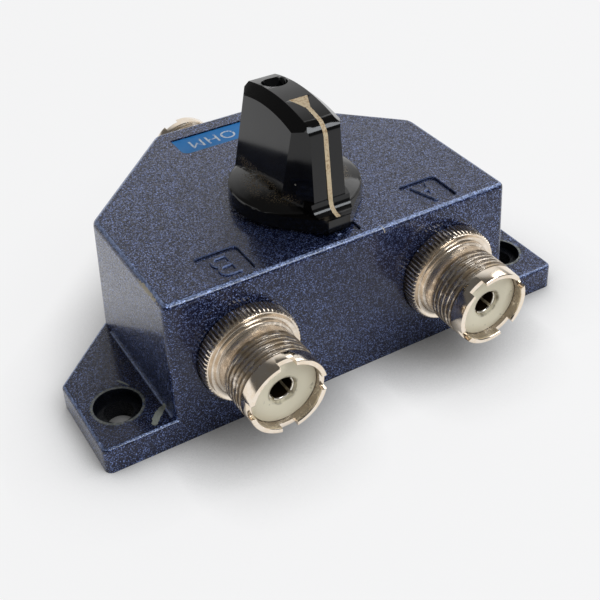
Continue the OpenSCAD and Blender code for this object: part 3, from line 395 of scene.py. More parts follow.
# The bores of the ear holes are black, with the paint rubbed off and scuffed round them.
past_hole = reckon(tree, "SUBTRACT", from_middle, ear_hole_x)
from_hole = reckon(tree, "POWER", reckon(
    tree, "ADD", product(tree, past_hole, past_hole), product(tree, at["Y"], at["Y"])), 0.5)
on_ear = ramp(tree, at["Z"], ear_top_z + 0.55 * mm, ear_top_z + 0.25 * mm)
bore = product(tree, on_ear, ramp(tree, from_hole, ear_bore_r + 0.12 * mm, ear_bore_r - 0.02 * mm))
rubbed_ring = product(
    tree, on_ear, ramp(tree, from_hole, ear_bore_r + 0.70 * mm, ear_bore_r + 0.30 * mm),
    ramp(tree, from_hole, ear_bore_r, ear_bore_r + 0.08 * mm), ramp(tree, cloud, 0.36, 0.52, 0.15, 1.0))
scuffed = product(
    tree, on_ear, ramp(tree, from_hole, ear_bore_r + 2.05 * mm, ear_bore_r + 0.95 * mm),
    ramp(tree, cloud, 0.45, 0.60))

# A lighter blue painted highlight lies along the rounded upper edges. The chips show cream
# primer above and bare casting below.
edge_highlight = product(
    tree, ramp(tree, slope, 0.992, 0.95), ramp(tree, slope, 0.58, 0.80),
    ramp(tree, cloud, 0.30, 0.55, 0.5, 1.0), ramp(tree, flakes["Flake"], 0.1, 0.9, 0.55, 1.0))
chips = largest(tree, *[
    put(tree, "ShaderNodeGroup", {
        "Middle": [c * mm for c in middle], "Turn": math.radians(turn),
        "Half Size": [c * mm for c in half], "Bend": bend}, node_tree=scar).outputs["Mask"]
    for middle, turn, half, bend in chip_places])
bared = largest(tree, chips, product(tree, rubbed_ring, 0.8))
under_paint = blend_colour(tree, ramp(tree, at["Z"], 20 * mm, 26 * mm), bare_casting, primer_cream)
dirt_and_shade_dark = largest(tree, bore, product(tree, panel_foot_shade, 0.92), product(tree, scuffed, 0.5))
colour = blend_colour(tree, edge_highlight, shades.outputs["Color"], highlight_blue)
colour = blend_colour(tree, bared, colour, under_paint)
colour = blend_colour(tree, dirt_and_shade_dark, colour, dirt_and_shade_black)
colour = blend_colour(tree, side_highlight, colour, highlight_blue)
painted = reckon(tree, "SUBTRACT", 1.0, largest(tree, side_highlight, bared, dirt_and_shade_dark))
show_surface(tree, {
    "Base Color": colour, "Metallic": product(tree, painted, flake_metal), "Specular IOR Level": 0.15,
    "Roughness": ramp(tree, broad, 0.3, 0.7, 0.28, 0.34), "Normal": flakes["Normal"],
    "Coat Weight": reckon(tree, "ADD", bare_gloss, product(tree, painted, lacquer_gloss)),
    "Coat IOR": 1.5, "Coat Roughness": 0.15})

housing = dressed_copy("housing", "cast_housing", housing_edge)
housing.data.materials.append(flake_paint)
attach(housing, "box")
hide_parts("housing")


# ---- sockets ------------------------------------------------------------------
# Three like sockets are turned from brass and nickel-plated, and screw into the box
# up to a knurled flange. The plating has yellowed, and dirt and painted shade brown its hollows.

socket_axis_z = 14.4 * mm
socket_x = 21.1 * mm
front_tip_y = -22.7 * mm
rear_tip_y = 59.473 * mm
tip_forward = Matrix.Rotation(-math.pi / 2, 4, "X")
turned_about = Matrix.Rotation(math.pi, 4, "Z")
socket_places = {
    "a": Matrix.Translation((socket_x, front_tip_y, socket_axis_z)) @ tip_forward,
    "b": Matrix.Translation((-socket_x, front_tip_y, socket_axis_z)) @ tip_forward,
    "common": Matrix.Translation((0, rear_tip_y, socket_axis_z)) @ turned_about @ tip_forward,
}
notch_turns = {"a": -33, "b": 0, "common": 20}
notch_width = 2.9 * mm
notch_depth = 1.2 * mm
notch_reach = 30 * mm
shell_edge = 0.07 * mm
thread_pitch = 1.0583 * mm
thread_start = 2.95 * mm + thread_pitch * 0.2
thread_length = 5.53 * mm
thread_root_r = 7.34 * mm
thread_height = 0.60 * mm

# The ridge's half widths and its rounding are shares of the pitch. The part of it that is
# sunk in the shell is a share of its height. It runs out over a quarter of a turn.
half_foot_share = 0.47
half_crest_share = 0.24
rounding_share = 0.20
sunk_share = 0.15
fade_turns = 0.25

knurl_teeth = 72
knurl_root_r = 8.98 * mm
knurl_height = 0.32 * mm
knurl_start = 11.55 * mm
knurl_length = 3.2 * mm

# A tooth's depth and the place of its middle are shares of its height, its widths are
# shares of the pitch, and its ends drop by a share of its depth.
tooth_depth_share = 1.3
tooth_middle_share = 0.35
tooth_foot_share = 0.94
tooth_crest_share = 0.26
tooth_end_share = 0.6

nickel = (0.92, 0.82, 0.70, 1)
nickel_yellowed = (0.86, 0.66, 0.42, 1)
# The brown of dirt and of painted shade in the hollows.
thread_dirt_and_shade = (0.055, 0.030, 0.015, 1)

# Radius, and distance from the tip, in millimetres: down the outside, then up the bore.
shell_outline = [
    (6.47, 0.0), (7.13, 0.0), (7.25, 0.12), (7.42, 2.80), (7.28, 2.92), (7.28, 8.55), (7.20, 8.70),
    (7.20, 10.60), (7.58, 10.66), (7.66, 10.76), (7.66, 11.35), (7.78, 11.62), (8.05, 11.70),
    (8.55, 11.60), (8.80, 11.42), (8.93, 11.42), (8.98, 11.55), (8.98, 14.76), (8.90, 14.85),
    (6.40, 14.85), (6.40, 17.95), (6.28, 18.07), (4.60, 18.07), (4.60, 14.06), (6.35, 14.06), (6.35, 0.12),
]


def new_piece(name, body):
    """Turns a bmesh into an object of the scene."""
    mesh = bpy.data.meshes.new(name)
    body.to_mesh(mesh)
    body.free()
    piece = bpy.data.objects.new(name, mesh)
    bpy.context.scene.collection.objects.link(piece)
    return piece


def turned(name, outline, steps):
    """Turns a closed outline of (radius, along) in millimetres about Z, as a lathe does."""
    body = bmesh.new()
    rings = []
    for i in range(steps):
        angle = 2 * math.pi * i / steps
        rings.append([body.verts.new((r * mm * math.cos(angle), r * mm * math.sin(angle), along * mm))
                      for r, along in outline])
    for here, there in zip(rings, rings[1:] + rings[:1]):
        for k in range(len(outline)):
            n = (k + 1) % len(outline)
            if outline[k][0] > 0 or outline[n][0] > 0:
                body.faces.new([here[k], there[k], there[n], here[n]])
    bmesh.ops.remove_doubles(body, verts=body.verts, dist=0.0005 * mm)
    bmesh.ops.recalc_face_normals(body, faces=body.faces)
    return new_piece(name, body)


def block(name, size, turn, at=(0, 0, 0)):
    """A box of the given size, turned about Z, that cuts other pieces."""
    body = bmesh.new()
    bmesh.ops.create_cube(body, size=1.0)
    bmesh.ops.scale(body, vec=size, verts=body.verts)
    bmesh.ops.rotate(body, cent=(0, 0, 0), matrix=Matrix.Rotation(turn, 3, "Z"), verts=body.verts)
    bmesh.ops.translate(body, vec=at, verts=body.verts)
    return new_piece(name, body)


def plain_mesh(thing):
    """The mesh that an object has once it is worked out."""
    return bpy.data.meshes.new_from_object(thing.evaluated_get(bpy.context.evaluated_depsgraph_get()))


def make_plain(piece):
    """Applies the piece's modifiers for good."""
    made = plain_mesh(piece)
    made.name = piece.name
    piece.modifiers.clear()
    piece.data = made


def cut_away(piece, cutters):
    """Cuts the shapes of the cutters out of the piece."""
    for cutter in cutters:
        cut = piece.modifiers.new("cut", "BOOLEAN")
        cut.operation = "DIFFERENCE"
        cut.solver = "EXACT"
        cut.object = cutter
    make_plain(piece)
    for cutter in cutters:
        bpy.data.objects.remove(cutter)


def break_edges(piece, width):
    """Bevels the sharp edges of a turned piece."""
    bevel = piece.modifiers.new("broken_edges", "BEVEL")
    bevel.width = width
    bevel.segments = 2
    bevel.limit_method = "ANGLE"
    bevel.angle_limit = math.radians(40)
    make_plain(piece)


def new_shape_tree(name, inputs):
    """An empty Geometry Nodes tree with named inputs, given as (name, type)."""
    tree = bpy.data.node_groups.new(name, "GeometryNodeTree")
    tree.interface.new_socket(name="Geometry", in_out="INPUT", socket_type="NodeSocketGeometry")
    for label, kind in inputs:
        tree.interface.new_socket(name=label, in_out="INPUT", socket_type=kind)
    tree.interface.new_socket(name="Geometry", in_out="OUTPUT", socket_type="NodeSocketGeometry")
    return tree, tree.nodes.new("NodeGroupInput").outputs, tree.nodes.new("NodeGroupOutput").inputs


def grow(piece, tree, values):
    """Runs a Geometry Nodes tree on the piece with these named inputs, for good."""
    step = piece.modifiers.new(tree.name, "NODES")
    step.node_group = tree
    for item in tree.interface.items_tree:
        if item.in_out == "INPUT" and item.name in values:
            step[item.identifier] = values[item.name]
    make_plain(piece)


def at_point(tree, x=0.0, y=0.0, z=0.0):
    """A vector from its three parts."""
    return put(tree, "ShaderNodeCombineXYZ", {"X": x, "Y": y, "Z": z}).outputs[0]


def finish_shape(tree, given, shape, start, out):
    """Moves the new shape along Z, adds it to the piece, and gives all of it one material."""
    moved = put(tree, "GeometryNodeTransform", {"Geometry": shape, "Translation": at_point(tree, z=start)})
    joined = put(tree, "GeometryNodeJoinGeometry")
    tree.links.new(moved.outputs[0], joined.inputs[0])
    tree.links.new(given["Geometry"], joined.inputs[0])
    real = put(tree, "GeometryNodeRealizeInstances", {"Geometry": joined.outputs[0]})
    faced = put(tree, "GeometryNodeSetMaterial", {"Geometry": real.outputs[0], "Material": given["Material"]})
    tree.links.new(faced.outputs[0], out["Geometry"])


def thread_tree():
    """One unbroken ridge that winds about Z, and runs out at both ends."""
    tree, given, out = new_shape_tree("coupling_thread", [
        ("Root Radius", "NodeSocketFloat"), ("Height", "NodeSocketFloat"), ("Pitch", "NodeSocketFloat"),
        ("Length", "NodeSocketFloat"), ("Start", "NodeSocketFloat"), ("Material", "NodeSocketMaterial")])
    turns = reckon(tree, "DIVIDE", given["Length"], given["Pitch"])
    helix = put(tree, "GeometryNodeCurveSpiral", {
        "Resolution": 96, "Rotations": turns, "Start Radius": given["Root Radius"],
        "End Radius": given["Root Radius"], "Height": given["Length"]})
    upright = put(tree, "GeometryNodeSetCurveNormal", {"Curve": helix.outputs[0]}, mode="Z_UP")
    wound = product(tree, put(tree, "GeometryNodeSplineParameter").outputs["Factor"], turns)
    from_end = reckon(tree, "MINIMUM", wound, reckon(tree, "SUBTRACT", turns, wound))
    fade = ramp(tree, from_end, 0.0, fade_turns, 0.05, 1.0)
    half_foot = product(tree, given["Pitch"], half_foot_share)
    half_crest = product(tree, given["Pitch"], half_crest_share)
    low = product(tree, given["Height"], -sunk_share)
    profile = put(tree, "GeometryNodeCurvePrimitiveQuadrilateral", {
        "Point 1": at_point(tree, low, product(tree, half_foot, -1.0)),
        "Point 2": at_point(tree, given["Height"], product(tree, half_crest, -1.0)),
        "Point 3": at_point(tree, given["Height"], half_crest),
        "Point 4": at_point(tree, low, half_foot)}, mode="POINTS")
    rounded = put(tree, "GeometryNodeFilletCurve", {
        "Curve": profile.outputs[0], "Count": 3, "Radius": product(tree, given["Pitch"], rounding_share),
        "Limit Radius": True}, mode="POLY")
    ridge = put(tree, "GeometryNodeCurveToMesh", {
        "Curve": upright.outputs[0], "Profile Curve": rounded.outputs[0], "Scale": fade, "Fill Caps": True})
    finish_shape(tree, given, ridge.outputs[0], given["Start"], out)
    return tree


def knurl_tree():
    """Straight teeth round Z, each a small wedge with chamfered ends."""
    tree, given, out = new_shape_tree("straight_knurl", [
        ("Root Radius", "NodeSocketFloat"), ("Height", "NodeSocketFloat"), ("Teeth", "NodeSocketInt"),
        ("Length", "NodeSocketFloat"), ("Start", "NodeSocketFloat"), ("Material", "NodeSocketMaterial")])
    pitch = reckon(tree, "DIVIDE", product(tree, given["Root Radius"], 2 * math.pi), given["Teeth"])
    deep = product(tree, given["Height"], tooth_depth_share)
    half = product(tree, given["Length"], 0.5)
    tooth = put(tree, "GeometryNodeMeshCube", {
        "Size": at_point(tree, deep, pitch, given["Length"]),
        "Vertices X": 2, "Vertices Y": 2, "Vertices Z": 4})
    corner = put(tree, "GeometryNodeInputPosition").outputs[0]
    here = put(tree, "ShaderNodeSeparateXYZ", {0: corner}).outputs
    top = reckon(tree, "GREATER_THAN", here["X"], 0.0)
    at_end = reckon(tree, "GREATER_THAN", reckon(tree, "ABSOLUTE", here["Z"]), product(tree, half, 0.6))
    narrow = put(tree, "ShaderNodeMapRange", {
        "Value": top, "To Min": tooth_foot_share, "To Max": tooth_crest_share}).outputs["Result"]
    chamfer = reckon(tree, "SUBTRACT", half, given["Height"])
    end = put(tree, "ShaderNodeMix", {"Factor": at_end, "A": chamfer, "B": half}).outputs["Result"]
    shaped = at_point(
        tree, reckon(tree, "SUBTRACT", here["X"], product(tree, top, at_end, deep, tooth_end_share)),
        product(tree, here["Y"], narrow), product(tree, reckon(tree, "SIGN", here["Z"]), end))
    wedge = put(tree, "GeometryNodeSetPosition", {"Geometry": tooth.outputs["Mesh"], "Position": shaped})
    seat_r = reckon(tree, "ADD", given["Root Radius"], product(tree, given["Height"], tooth_middle_share))
    ring = put(tree, "GeometryNodeMeshCircle", {"Vertices": given["Teeth"], "Radius": seat_r})
    outwards = put(tree, "FunctionNodeAlignRotationToVector", {
        "Vector": put(tree, "GeometryNodeInputPosition").outputs[0]}, axis="X")
    teeth = put(tree, "GeometryNodeInstanceOnPoints", {
        "Points": ring.outputs["Mesh"], "Instance": wedge.outputs[0], "Rotation": outwards.outputs[0]})
    finish_shape(tree, given, teeth.outputs[0], reckon(tree, "ADD", given["Start"], half), out)
    return tree


def settle(piece, place, sharp_angle):
    """Stores each point's radius and its distance along the axis, in millimetres, for the
    materials, and moves a turned piece to its place in the box."""
    radius = piece.data.attributes.new("radius_mm", "FLOAT", "POINT")
    along = piece.data.attributes.new("along_mm", "FLOAT", "POINT")
    for i, point in enumerate(piece.data.vertices):
        radius.data[i].value = math.hypot(point.co.x, point.co.y) / mm
        along.data[i].value = point.co.z / mm
    piece.data.transform(place)
    piece.data.shade_smooth()
    piece.data.set_sharp_from_angle(angle=math.radians(sharp_angle))


def stored(tree, name):
    """A value that was stored at each point of the piece."""
    return put(tree, "ShaderNodeAttribute", attribute_name=name).outputs["Fac"]


def bumps(tree, height, strength, depth):
    """A normal that follows the height."""
    return put(tree, "ShaderNodeBump", {
        "Height": height, "Strength": strength, "Distance": depth}).outputs[0]


def turned_metal_group():
    """Fine turning lines and dents as a height, and patches and specks as values."""
    group, given, out = new_group(
        "turned_metal",
        [("Lines Per Millimetre", "NodeSocketFloat", 7.0), ("Patches Per Metre", "NodeSocketFloat", 900.0)],
        [("Height", "NodeSocketFloat"), ("Patches", "NodeSocketFloat"), ("Specks", "NodeSocketFloat")])
    place = put(group, "ShaderNodeTexCoord").outputs["Object"]
    sweep = reckon(group, "ADD", stored(group, "along_mm"), stored(group, "radius_mm"))
    lines = put(group, "ShaderNodeTexNoise", {
        "W": sweep, "Scale": given["Lines Per Millimetre"], "Detail": 2.0}, noise_dimensions="1D")
    patches = noise(group, place, given["Patches Per Metre"], 5.0, Roughness=0.65)
    pits = put(group, "ShaderNodeTexVoronoi", {
        "Vector": place, "Scale": product(group, given["Patches Per Metre"], 1.7)})
    dents = put(group, "ShaderNodeMapRange", {
        "Value": pits.outputs["Distance"], "From Min": 0.05, "From Max": 0.16}).outputs["Result"]
    uneven = reckon(group, "ADD", product(group, patches, 0.8), product(group, dents, 0.4))
    height = reckon(group, "ADD", product(group, lines.outputs["Fac"], 0.35), uneven)
    specks = noise(group, place, product(group, given["Patches Per Metre"], 4.0), 3.0)
    for value, name in ((height, "Height"), (patches, "Patches"), (specks, "Specks")):
        group.links.new(value, out[name])
    return group


turned_metal = turned_metal_group()

nickel_plate, tree = new_material("nickel_plate")
marks = put(tree, "ShaderNodeGroup", {
    "Lines Per Millimetre": 6.0, "Patches Per Metre": 620.0}, node_tree=turned_metal).outputs
along, radius = stored(tree, "along_mm"), stored(tree, "radius_mm")

# Dirt and painted shade darken the thread's roots, the neck, the bore and the knurl's gaps.
# The limits are in millimetres, from the tip or from the axis.
on_thread = product(tree, ramp(tree, along, 2.6, 3.1), ramp(tree, along, 9.2, 8.4))
in_root = product(tree, on_thread, ramp(tree, radius, 7.56, 7.34))
on_neck = product(tree, ramp(tree, along, 8.4, 9.0), ramp(tree, radius, 8.6, 7.3))
in_bore = product(tree, ramp(tree, radius, 6.45, 6.36), ramp(tree, along, 0.15, 0.6))
between_teeth = product(tree, ramp(tree, along, 11.75, 12.3), ramp(tree, radius, 9.32, 9.16))
dirt_and_shade_reach = largest(tree, product(tree, in_root, 0.75), product(tree, between_teeth, 0.9),
                product(tree, on_neck, 0.35), product(tree, in_bore, 0.55))
dirt_and_shade = product(tree, dirt_and_shade_reach, ramp(tree, marks["Patches"], 0.28, 0.52))
yellow = product(tree, ramp(tree, marks["Patches"], 0.40, 0.62),
                 reckon(tree, "ADD", 0.30, product(tree, on_thread, 0.6)))
colour = blend_colour(tree, yellow, nickel, nickel_yellowed)
show_surface(tree, {
    "Base Color": blend_colour(tree, dirt_and_shade, colour, thread_dirt_and_shade),
    "Metallic": reckon(tree, "SUBTRACT", 1.0, product(tree, dirt_and_shade, 0.5)),
    "Roughness": reckon(tree, "ADD", ramp(tree, marks["Patches"], 0.35, 0.65, 0.07, 0.17),
                        product(tree, dirt_and_shade, 0.30)),
    "Normal": bumps(tree, marks["Height"], 0.25, 0.03 * mm)})

thread_shape = thread_tree()
knurl_shape = knurl_tree()

for port, place in socket_places.items():
    shell = turned("turned_shell_" + port, shell_outline, steps=144)
    turn = math.radians(notch_turns[port])
    notch_size = (notch_reach, notch_width, 2 * notch_depth)
    cut_away(shell, [block("notch", notch_size, turn), block("notch", notch_size, turn + math.pi / 2)])
    break_edges(shell, shell_edge)
    grow(shell, thread_shape, {
        "Root Radius": thread_root_r, "Height": thread_height, "Pitch": thread_pitch,
        "Length": thread_length, "Start": thread_start, "Material": nickel_plate})
    grow(shell, knurl_shape, {
        "Root Radius": knurl_root_r, "Height": knurl_height, "Teeth": knurl_teeth,
        "Length": knurl_length, "Start": knurl_start, "Material": nickel_plate})
    settle(shell, place, sharp_angle=38)
    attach(shell, "box")
    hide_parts("socket_shell_" + port)


# ---- insulators ---------------------------------------------------------------
# Each socket holds a smooth turned plastic insulator, greyish cream, that sits on a
# shelf of the shell. A little dirt has gathered where the two meet.

insulator_cream = (0.96, 0.88, 0.67, 1)
insulator_stain = (0.20, 0.155, 0.085, 1)
insulator_outline = [
    (2.58, 2.12), (2.66, 2.04), (6.16, 2.0), (6.26, 2.03), (6.32, 2.13), (6.32, 14.06), (4.57, 14.06),
    (4.57, 19.57), (4.47, 19.67), (2.58, 19.67),
]

cream_plastic, tree = new_material("cream_plastic")
marks = put(tree, "ShaderNodeGroup", {
    "Lines Per Millimetre": 3.0, "Patches Per Metre": 260.0}, node_tree=turned_metal).outputs
radius = stored(tree, "radius_mm")
rim_dirt = product(tree, ramp(tree, radius, 6.10, 6.28), ramp(tree, marks["Patches"], 0.30, 0.55))
hole_dirt = product(tree, ramp(tree, radius, 3.05, 2.65), ramp(tree, marks["Patches"], 0.42, 0.60))
stain = largest(tree, product(tree, largest(tree, rim_dirt, hole_dirt), 0.8),
                ramp(tree, marks["Specks"], 0.66, 0.74, 0.0, 0.4))
show_surface(tree, {
    "Base Color": blend_colour(tree, stain, insulator_cream, insulator_stain),
    "Roughness": ramp(tree, marks["Patches"], 0.3, 0.7, 0.30, 0.42),
    "Normal": bumps(tree, marks["Height"], 0.12, 0.02 * mm)})

for port, place in socket_places.items():
    bead = turned("turned_insulator_" + port, insulator_outline, steps=96)
    settle(bead, place, sharp_angle=50)
    bead.data.materials.append(cream_plastic)
    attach(bead, "box")
    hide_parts("socket_insulator_" + port)


# ---- centre contacts ----------------------------------------------------------
# A silver-plated tube with four spring slots, held in each insulator. Its thin tail goes
# through to the inside, into the hub of a jaw or of the common bar.

contact_edge = 0.05 * mm
spring_slot_turns = (45, 135)
spring_slot_size = (8 * mm, 0.5 * mm, 12 * mm)
spring_slot_middle = (0, 0, 2.1 * mm)
silver = (0.78, 0.74, 0.66, 1)
# Dark brown for the tarnish and for the painted shade in the bore.
tarnish_and_shade_brown = (0.05, 0.032, 0.016, 1)
contact_outline = [
    (2.03, 3.02), (2.13, 2.77), (2.25, 2.67), (2.37, 2.67), (2.50, 2.75), (2.55, 2.92), (2.55, 16.20),
    (2.45, 16.30), (1.20, 16.30), (1.20, 22.97), (1.10, 23.072), (0.0, 23.072), (0.0, 15.10), (1.9, 15.10),
    (2.03, 14.95),
]

silver_plate, tree = new_material("silver_plate")
marks = put(tree, "ShaderNodeGroup", {
    "Lines Per Millimetre": 8.0, "Patches Per Metre": 1500.0}, node_tree=turned_metal).outputs
# The bore is painted dark as shade, and tarnish lies in random patches.
tarnish_and_bore_shade = largest(tree, ramp(tree, stored(tree, "radius_mm"), 2.16, 2.05),
                  ramp(tree, marks["Patches"], 0.52, 0.72, 0.0, 0.7))
show_surface(tree, {
    "Base Color": blend_colour(tree, tarnish_and_bore_shade, silver, tarnish_and_shade_brown), "Metallic": 1.0,
    "Roughness": reckon(tree, "ADD", 0.16, product(tree, tarnish_and_bore_shade, 0.25)),
    "Normal": bumps(tree, marks["Height"], 0.35, 0.02 * mm)})

for port, place in socket_places.items():
    contact = turned("turned_contact_" + port, contact_outline, steps=72)
    cut_away(contact, [block("spring_slot", spring_slot_size, math.radians(turn), spring_slot_middle)
                       for turn in spring_slot_turns])
    break_edges(contact, contact_edge)
    settle(contact, place, sharp_angle=40)
    contact.data.materials.clear()
    contact.data.materials.append(silver_plate)
    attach(contact, "box")
    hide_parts("socket_contact_" + port)


# ---- label --------------------------------------------------------------------
# A blue foil label with one line of plain print is glued into a sunk seat behind the
# knob, to be read from the rear. Its film has darkened along the edges.

label_blue = (0.012, 0.24, 0.66, 1)
label_edge = (0.003, 0.03, 0.12, 1)
print_white = (0.74, 0.82, 0.88, 1)
label_half_w = 10.8 * mm
label_half_d = 3.2 * mm
label_y = 37.17 * mm
print_size = 4.185 * mm
print_half_thick = 0.015 * mm
print_middle = 0.012 * mm


def finish_nodes(material, names):
    """Gives CAD nodes whose shape stays their material."""
    for name in names:
        nodes[name].data.materials.clear()
        nodes[name].data.materials.append(material)


foil, tree = new_material("blue_foil")
place, at = object_place(tree)
in_x = reckon(tree, "SUBTRACT", label_half_w, reckon(tree, "ABSOLUTE", at["X"]))
from_line = reckon(tree, "ABSOLUTE", reckon(tree, "SUBTRACT", at["Y"], label_y))
in_y = reckon(tree, "SUBTRACT", label_half_d, from_line)
from_edge = reckon(tree, "MINIMUM", in_x, in_y)
wear = noise(tree, place, 700.0, 4.0)
grime = largest(tree, ramp(tree, from_edge, 0.32 * mm, 0.05 * mm), ramp(tree, wear, 0.62, 0.78, 0.0, 0.35))
show_surface(tree, {
    "Base Color": blend_colour(tree, grime, label_blue, label_edge),
    "Roughness": ramp(tree, wear, 0.3, 0.7, 0.42, 0.58), "Specular IOR Level": 0.3,
    "Normal": bumps(tree, wear, 0.10, 0.05 * mm)})
finish_nodes(foil, ["label_plate"])

print_ink, tree = new_material("print_ink")
wear = noise(tree, put(tree, "ShaderNodeTexCoord").outputs["Object"], 1800.0, 4.0)
show_surface(tree, {
    "Base Color": blend_colour(tree, ramp(tree, wear, 0.50, 0.66), print_white, label_blue),
    "Roughness": 0.5})

letters = bpy.data.curves.new("label_print", "FONT")
letters.body = "50 OHM"
letters.size = print_size
letters.extrude = print_half_thick
letters.space_character = 1.12
letters.align_x = "CENTER"
letters.align_y = "CENTER"
letters.resolution_u = 4
drawn = bpy.data.objects.new("label_print", letters)
bpy.context.scene.collection.objects.link(drawn)
print_mesh = plain_mesh(drawn)
bpy.data.objects.remove(drawn)
label_print = bpy.data.objects.new("label_print", print_mesh)
bpy.context.scene.collection.objects.link(label_print)
label_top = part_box("label_plate")[1][2]
print_mesh.transform(
    Matrix.Translation((0, label_y, label_top + print_middle)) @ Matrix.Rotation(math.pi, 4, "Z"))
print_mesh.materials.clear()
print_mesh.materials.append(print_ink)
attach(label_print, "box")


# ---- knob ---------------------------------------------------------------------
# The pointer knob is moulded in one piece from black phenolic, glossy on its long flat
# sides. Dust lies in the crease round its skirt, and a few specks stick to it.

knob_black = (0.0028, 0.0028, 0.0032, 1)
knob_dust = (0.16, 0.115, 0.06, 1)
knob_speck = (0.45, 0.43, 0.38, 1)
skirt_crease_z = 33.6 * mm
knob_edge = 0.09 * mm

phenolic, tree = new_material("black_phenolic")
place, at = object_place(tree)
soft = noise(tree, place, 110.0, 3.0)
fine = noise(tree, place, 3800.0, 4.0)
grains = put(tree, "ShaderNodeTexVoronoi", {"Vector": place, "Scale": 620.0}).outputs
picked = put(tree, "ShaderNodeSeparateColor", {"Color": grains["Color"]}).outputs[0]
specks = product(tree, ramp(tree, grains["Distance"], 0.13, 0.07), ramp(tree, picked, 0.90, 0.93))
dust = product(
    tree, ramp(tree, at["Z"], skirt_crease_z + 1.3 * mm, skirt_crease_z - 0.2 * mm),
    ramp(tree, at["Z"], skirt_crease_z - 1.6 * mm, skirt_crease_z - 0.6 * mm),
    ramp(tree, fine, 0.50, 0.60), ramp(tree, at["Y"], 0.0, 4 * mm), ramp(tree, soft, 0.36, 0.52))
film = product(tree, ramp(tree, facing_up(tree), 0.5, 0.95), 0.012)
colour = blend_colour(tree, reckon(tree, "ADD", dust, film), knob_black, knob_dust)
relief = reckon(tree, "ADD", soft, product(tree, fine, 0.02))
show_surface(tree, {
    "Base Color": blend_colour(tree, product(tree, specks, 0.7), colour, knob_speck),
    "Roughness": reckon(tree, "ADD", ramp(tree, soft, 0.3, 0.7, 0.07, 0.13), product(tree, dust, 0.6)),
    "Specular IOR Level": 0.42, "Normal": bumps(tree, relief, 0.05, 0.10 * mm)})

knob = dressed_copy("knob", "moulded_knob", knob_edge, steps=3)
knob.data.materials.append(phenolic)
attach(knob, "rotor")
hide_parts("knob")


# ---- pointer paint ------------------------------------------------------------
# The arrow and the line down the knob's nose are engraved and filled with cream paint,
# which has browned in spots.

pointer_cream = (0.80, 0.64, 0.42, 1)
pointer_brown = (0.50, 0.31, 0.14, 1)

pointer_paint, tree = new_material("pointer_paint")
place = put(tree, "ShaderNodeTexCoord").outputs["Object"]
grain = noise(tree, place, 2600.0, 4.0)
spots = product(tree, ramp(tree, grain, 0.45, 0.7), ramp(tree, noise(tree, place, 300.0, 2.0), 0.3, 0.6))
show_surface(tree, {
    "Base Color": blend_colour(tree, spots, pointer_cream, pointer_brown),
    "Roughness": ramp(tree, grain, 0.3, 0.7, 0.45, 0.65), "Normal": bumps(tree, grain, 0.4, 0.04 * mm)})
finish_nodes(pointer_paint, ["pointer_line"])


# ---- base cover ---------------------------------------------------------------
# A plate of rolled steel closes the box from below. It is zinc-plated, with the fine
# straight lines of its rolling along the box.

rolled_zinc = (0.50, 0.51, 0.53, 1)
zinc_bloom = (0.43, 0.435, 0.44, 1)


def worn_metal_group():
    """Cloudy metal with fine lines along one axis: patches as a value, and a height."""
    group, given, out = new_group(
        "worn_metal",
        [("Stretch", "NodeSocketVector", (1, 1, 1)), ("Lines Per Metre", "NodeSocketFloat", 600.0)],
        [("Patches", "NodeSocketFloat"), ("Height", "NodeSocketFloat")])
    place = put(group, "ShaderNodeTexCoord").outputs["Object"]
    stretched = reckon_vector(group, "MULTIPLY", place, given["Stretch"])
    group.links.new(noise(group, place, 220.0, 5.0), out["Patches"])
    group.links.new(noise(group, stretched, given["Lines Per Metre"], 3.0), out["Height"])
    return group


worn_metal = worn_metal_group()


def metal_finish(name, colour, stained, stretch, lines_per_m, roughness, relief):
    """A worn metal surface from the group: its two colours, its lines and its gloss."""
    material, tree = new_material(name)
    worn = put(tree, "ShaderNodeGroup", {
        "Stretch": stretch, "Lines Per Metre": lines_per_m}, node_tree=worn_metal).outputs
    show_surface(tree, {
        "Base Color": blend_colour(tree, ramp(tree, worn["Patches"], 0.42, 0.64), colour, stained),
        "Metallic": 1.0, "Normal": bumps(tree, worn["Height"], relief, 0.02 * mm),
        "Roughness": ramp(tree, worn["Patches"], 0.35, 0.65, roughness, roughness + 0.14)})
    return material


rolled_steel = metal_finish(
    "rolled_steel", rolled_zinc, zinc_bloom,
    stretch=(0.04, 1, 1), lines_per_m=5200, roughness=0.28, relief=0.30)
finish_nodes(rolled_steel, ["base_cover"])


# ---- screws -------------------------------------------------------------------
# Six like screws of zinc-plated steel, each with a cross recess in its head, hold the
# base cover in the housing. The knob's set screw and the ground screw have the same finish.

screw_zinc = (0.58, 0.585, 0.60, 1)
screw_stain = (0.30, 0.275, 0.22, 1)

screw_steel = metal_finish(
    "screw_steel", screw_zinc, screw_stain,
    stretch=(1, 1, 1), lines_per_m=3000, roughness=0.22, relief=0.22)
finish_nodes(screw_steel, ["cover_screws", "knob_set_screw", "ground_screw"])


# ---- shaft and click mechanism ------------------------------------------------
# The steel shaft turns in a brass bush that a nut and a washer hold in the top wall. Two
# sprung steel balls in the rotor click into a hardened plate, and a pin ends the travel.

ground_grey = (0.47, 0.475, 0.485, 1)
oil_stain = (0.26, 0.22, 0.16, 1)
bush_brass = (0.72, 0.53, 0.24, 1)
brass_brown = (0.40, 0.24, 0.09, 1)

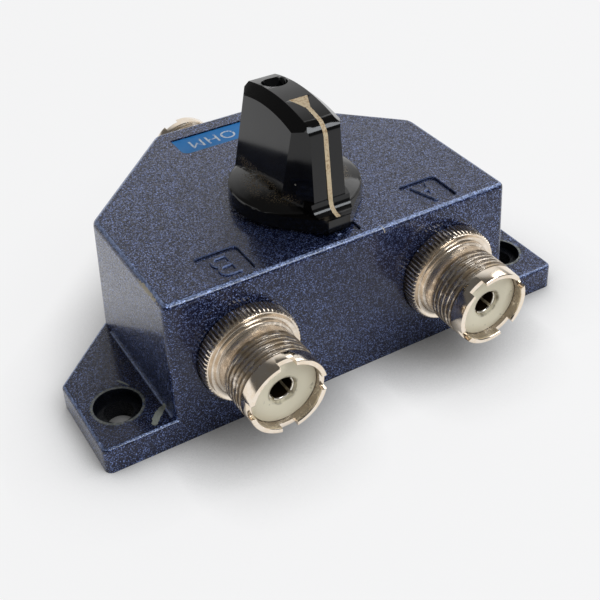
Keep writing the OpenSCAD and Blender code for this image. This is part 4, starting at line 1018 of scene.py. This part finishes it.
ground_steel = metal_finish(
    "ground_steel", ground_grey, oil_stain,
    stretch=(1, 1, 0.15), lines_per_m=4200, roughness=0.18, relief=0.20)
turned_brass = metal_finish(
    "turned_brass", bush_brass, brass_brown,
    stretch=(1, 1, 0.2), lines_per_m=3600, roughness=0.20, relief=0.20)
finish_nodes(ground_steel, ["rotor_shaft", "shaft_clip", "bush_washer", "detent_plate", "stop_pin",
                            "rotor_cross_pin", "detent_balls", "detent_springs"])
finish_nodes(turned_brass, ["shaft_bush", "bush_nut"])


# ---- rotor and contacts -------------------------------------------------------
# A moulded plastic disc on the shaft carries the silvered blade, which joins one jaw to the
# common bar. The port jaws and the bar are brass, with hubs on the sockets' tails, and the
# ground jaw is screwed to the front wall.

rotor_cream = (0.62, 0.57, 0.44, 1)
rotor_shade = (0.42, 0.34, 0.20, 1)
strip_brass = (0.76, 0.58, 0.28, 1)
strip_brown = (0.46, 0.29, 0.12, 1)
blade_silver = (0.78, 0.75, 0.68, 1)
blade_brown = (0.36, 0.26, 0.15, 1)

rotor_plastic, tree = new_material("rotor_plastic")
place = put(tree, "ShaderNodeTexCoord").outputs["Object"]
flow = noise(tree, place, 160.0, 5.0, Distortion=0.6)
grain = noise(tree, place, 2400.0, 2.0)
show_surface(tree, {
    "Base Color": blend_colour(tree, ramp(tree, flow, 0.40, 0.68), rotor_cream, rotor_shade),
    "Roughness": ramp(tree, grain, 0.3, 0.7, 0.36, 0.50), "Normal": bumps(tree, grain, 0.15, 0.03 * mm)})
finish_nodes(rotor_plastic, ["rotor_disc"])

strip_metal = metal_finish(
    "brass_strip", strip_brass, strip_brown,
    stretch=(0.06, 1, 1), lines_per_m=4800, roughness=0.24, relief=0.25)
blade_metal = metal_finish(
    "silvered_strip", blade_silver, blade_brown,
    stretch=(0.1, 1, 1), lines_per_m=4800, roughness=0.20, relief=0.20)
finish_nodes(strip_metal, ["contact_jaw_a", "contact_jaw_b", "common_bar", "ground_jaw", "blade_screws"])
finish_nodes(blade_metal, ["rotor_blade"])
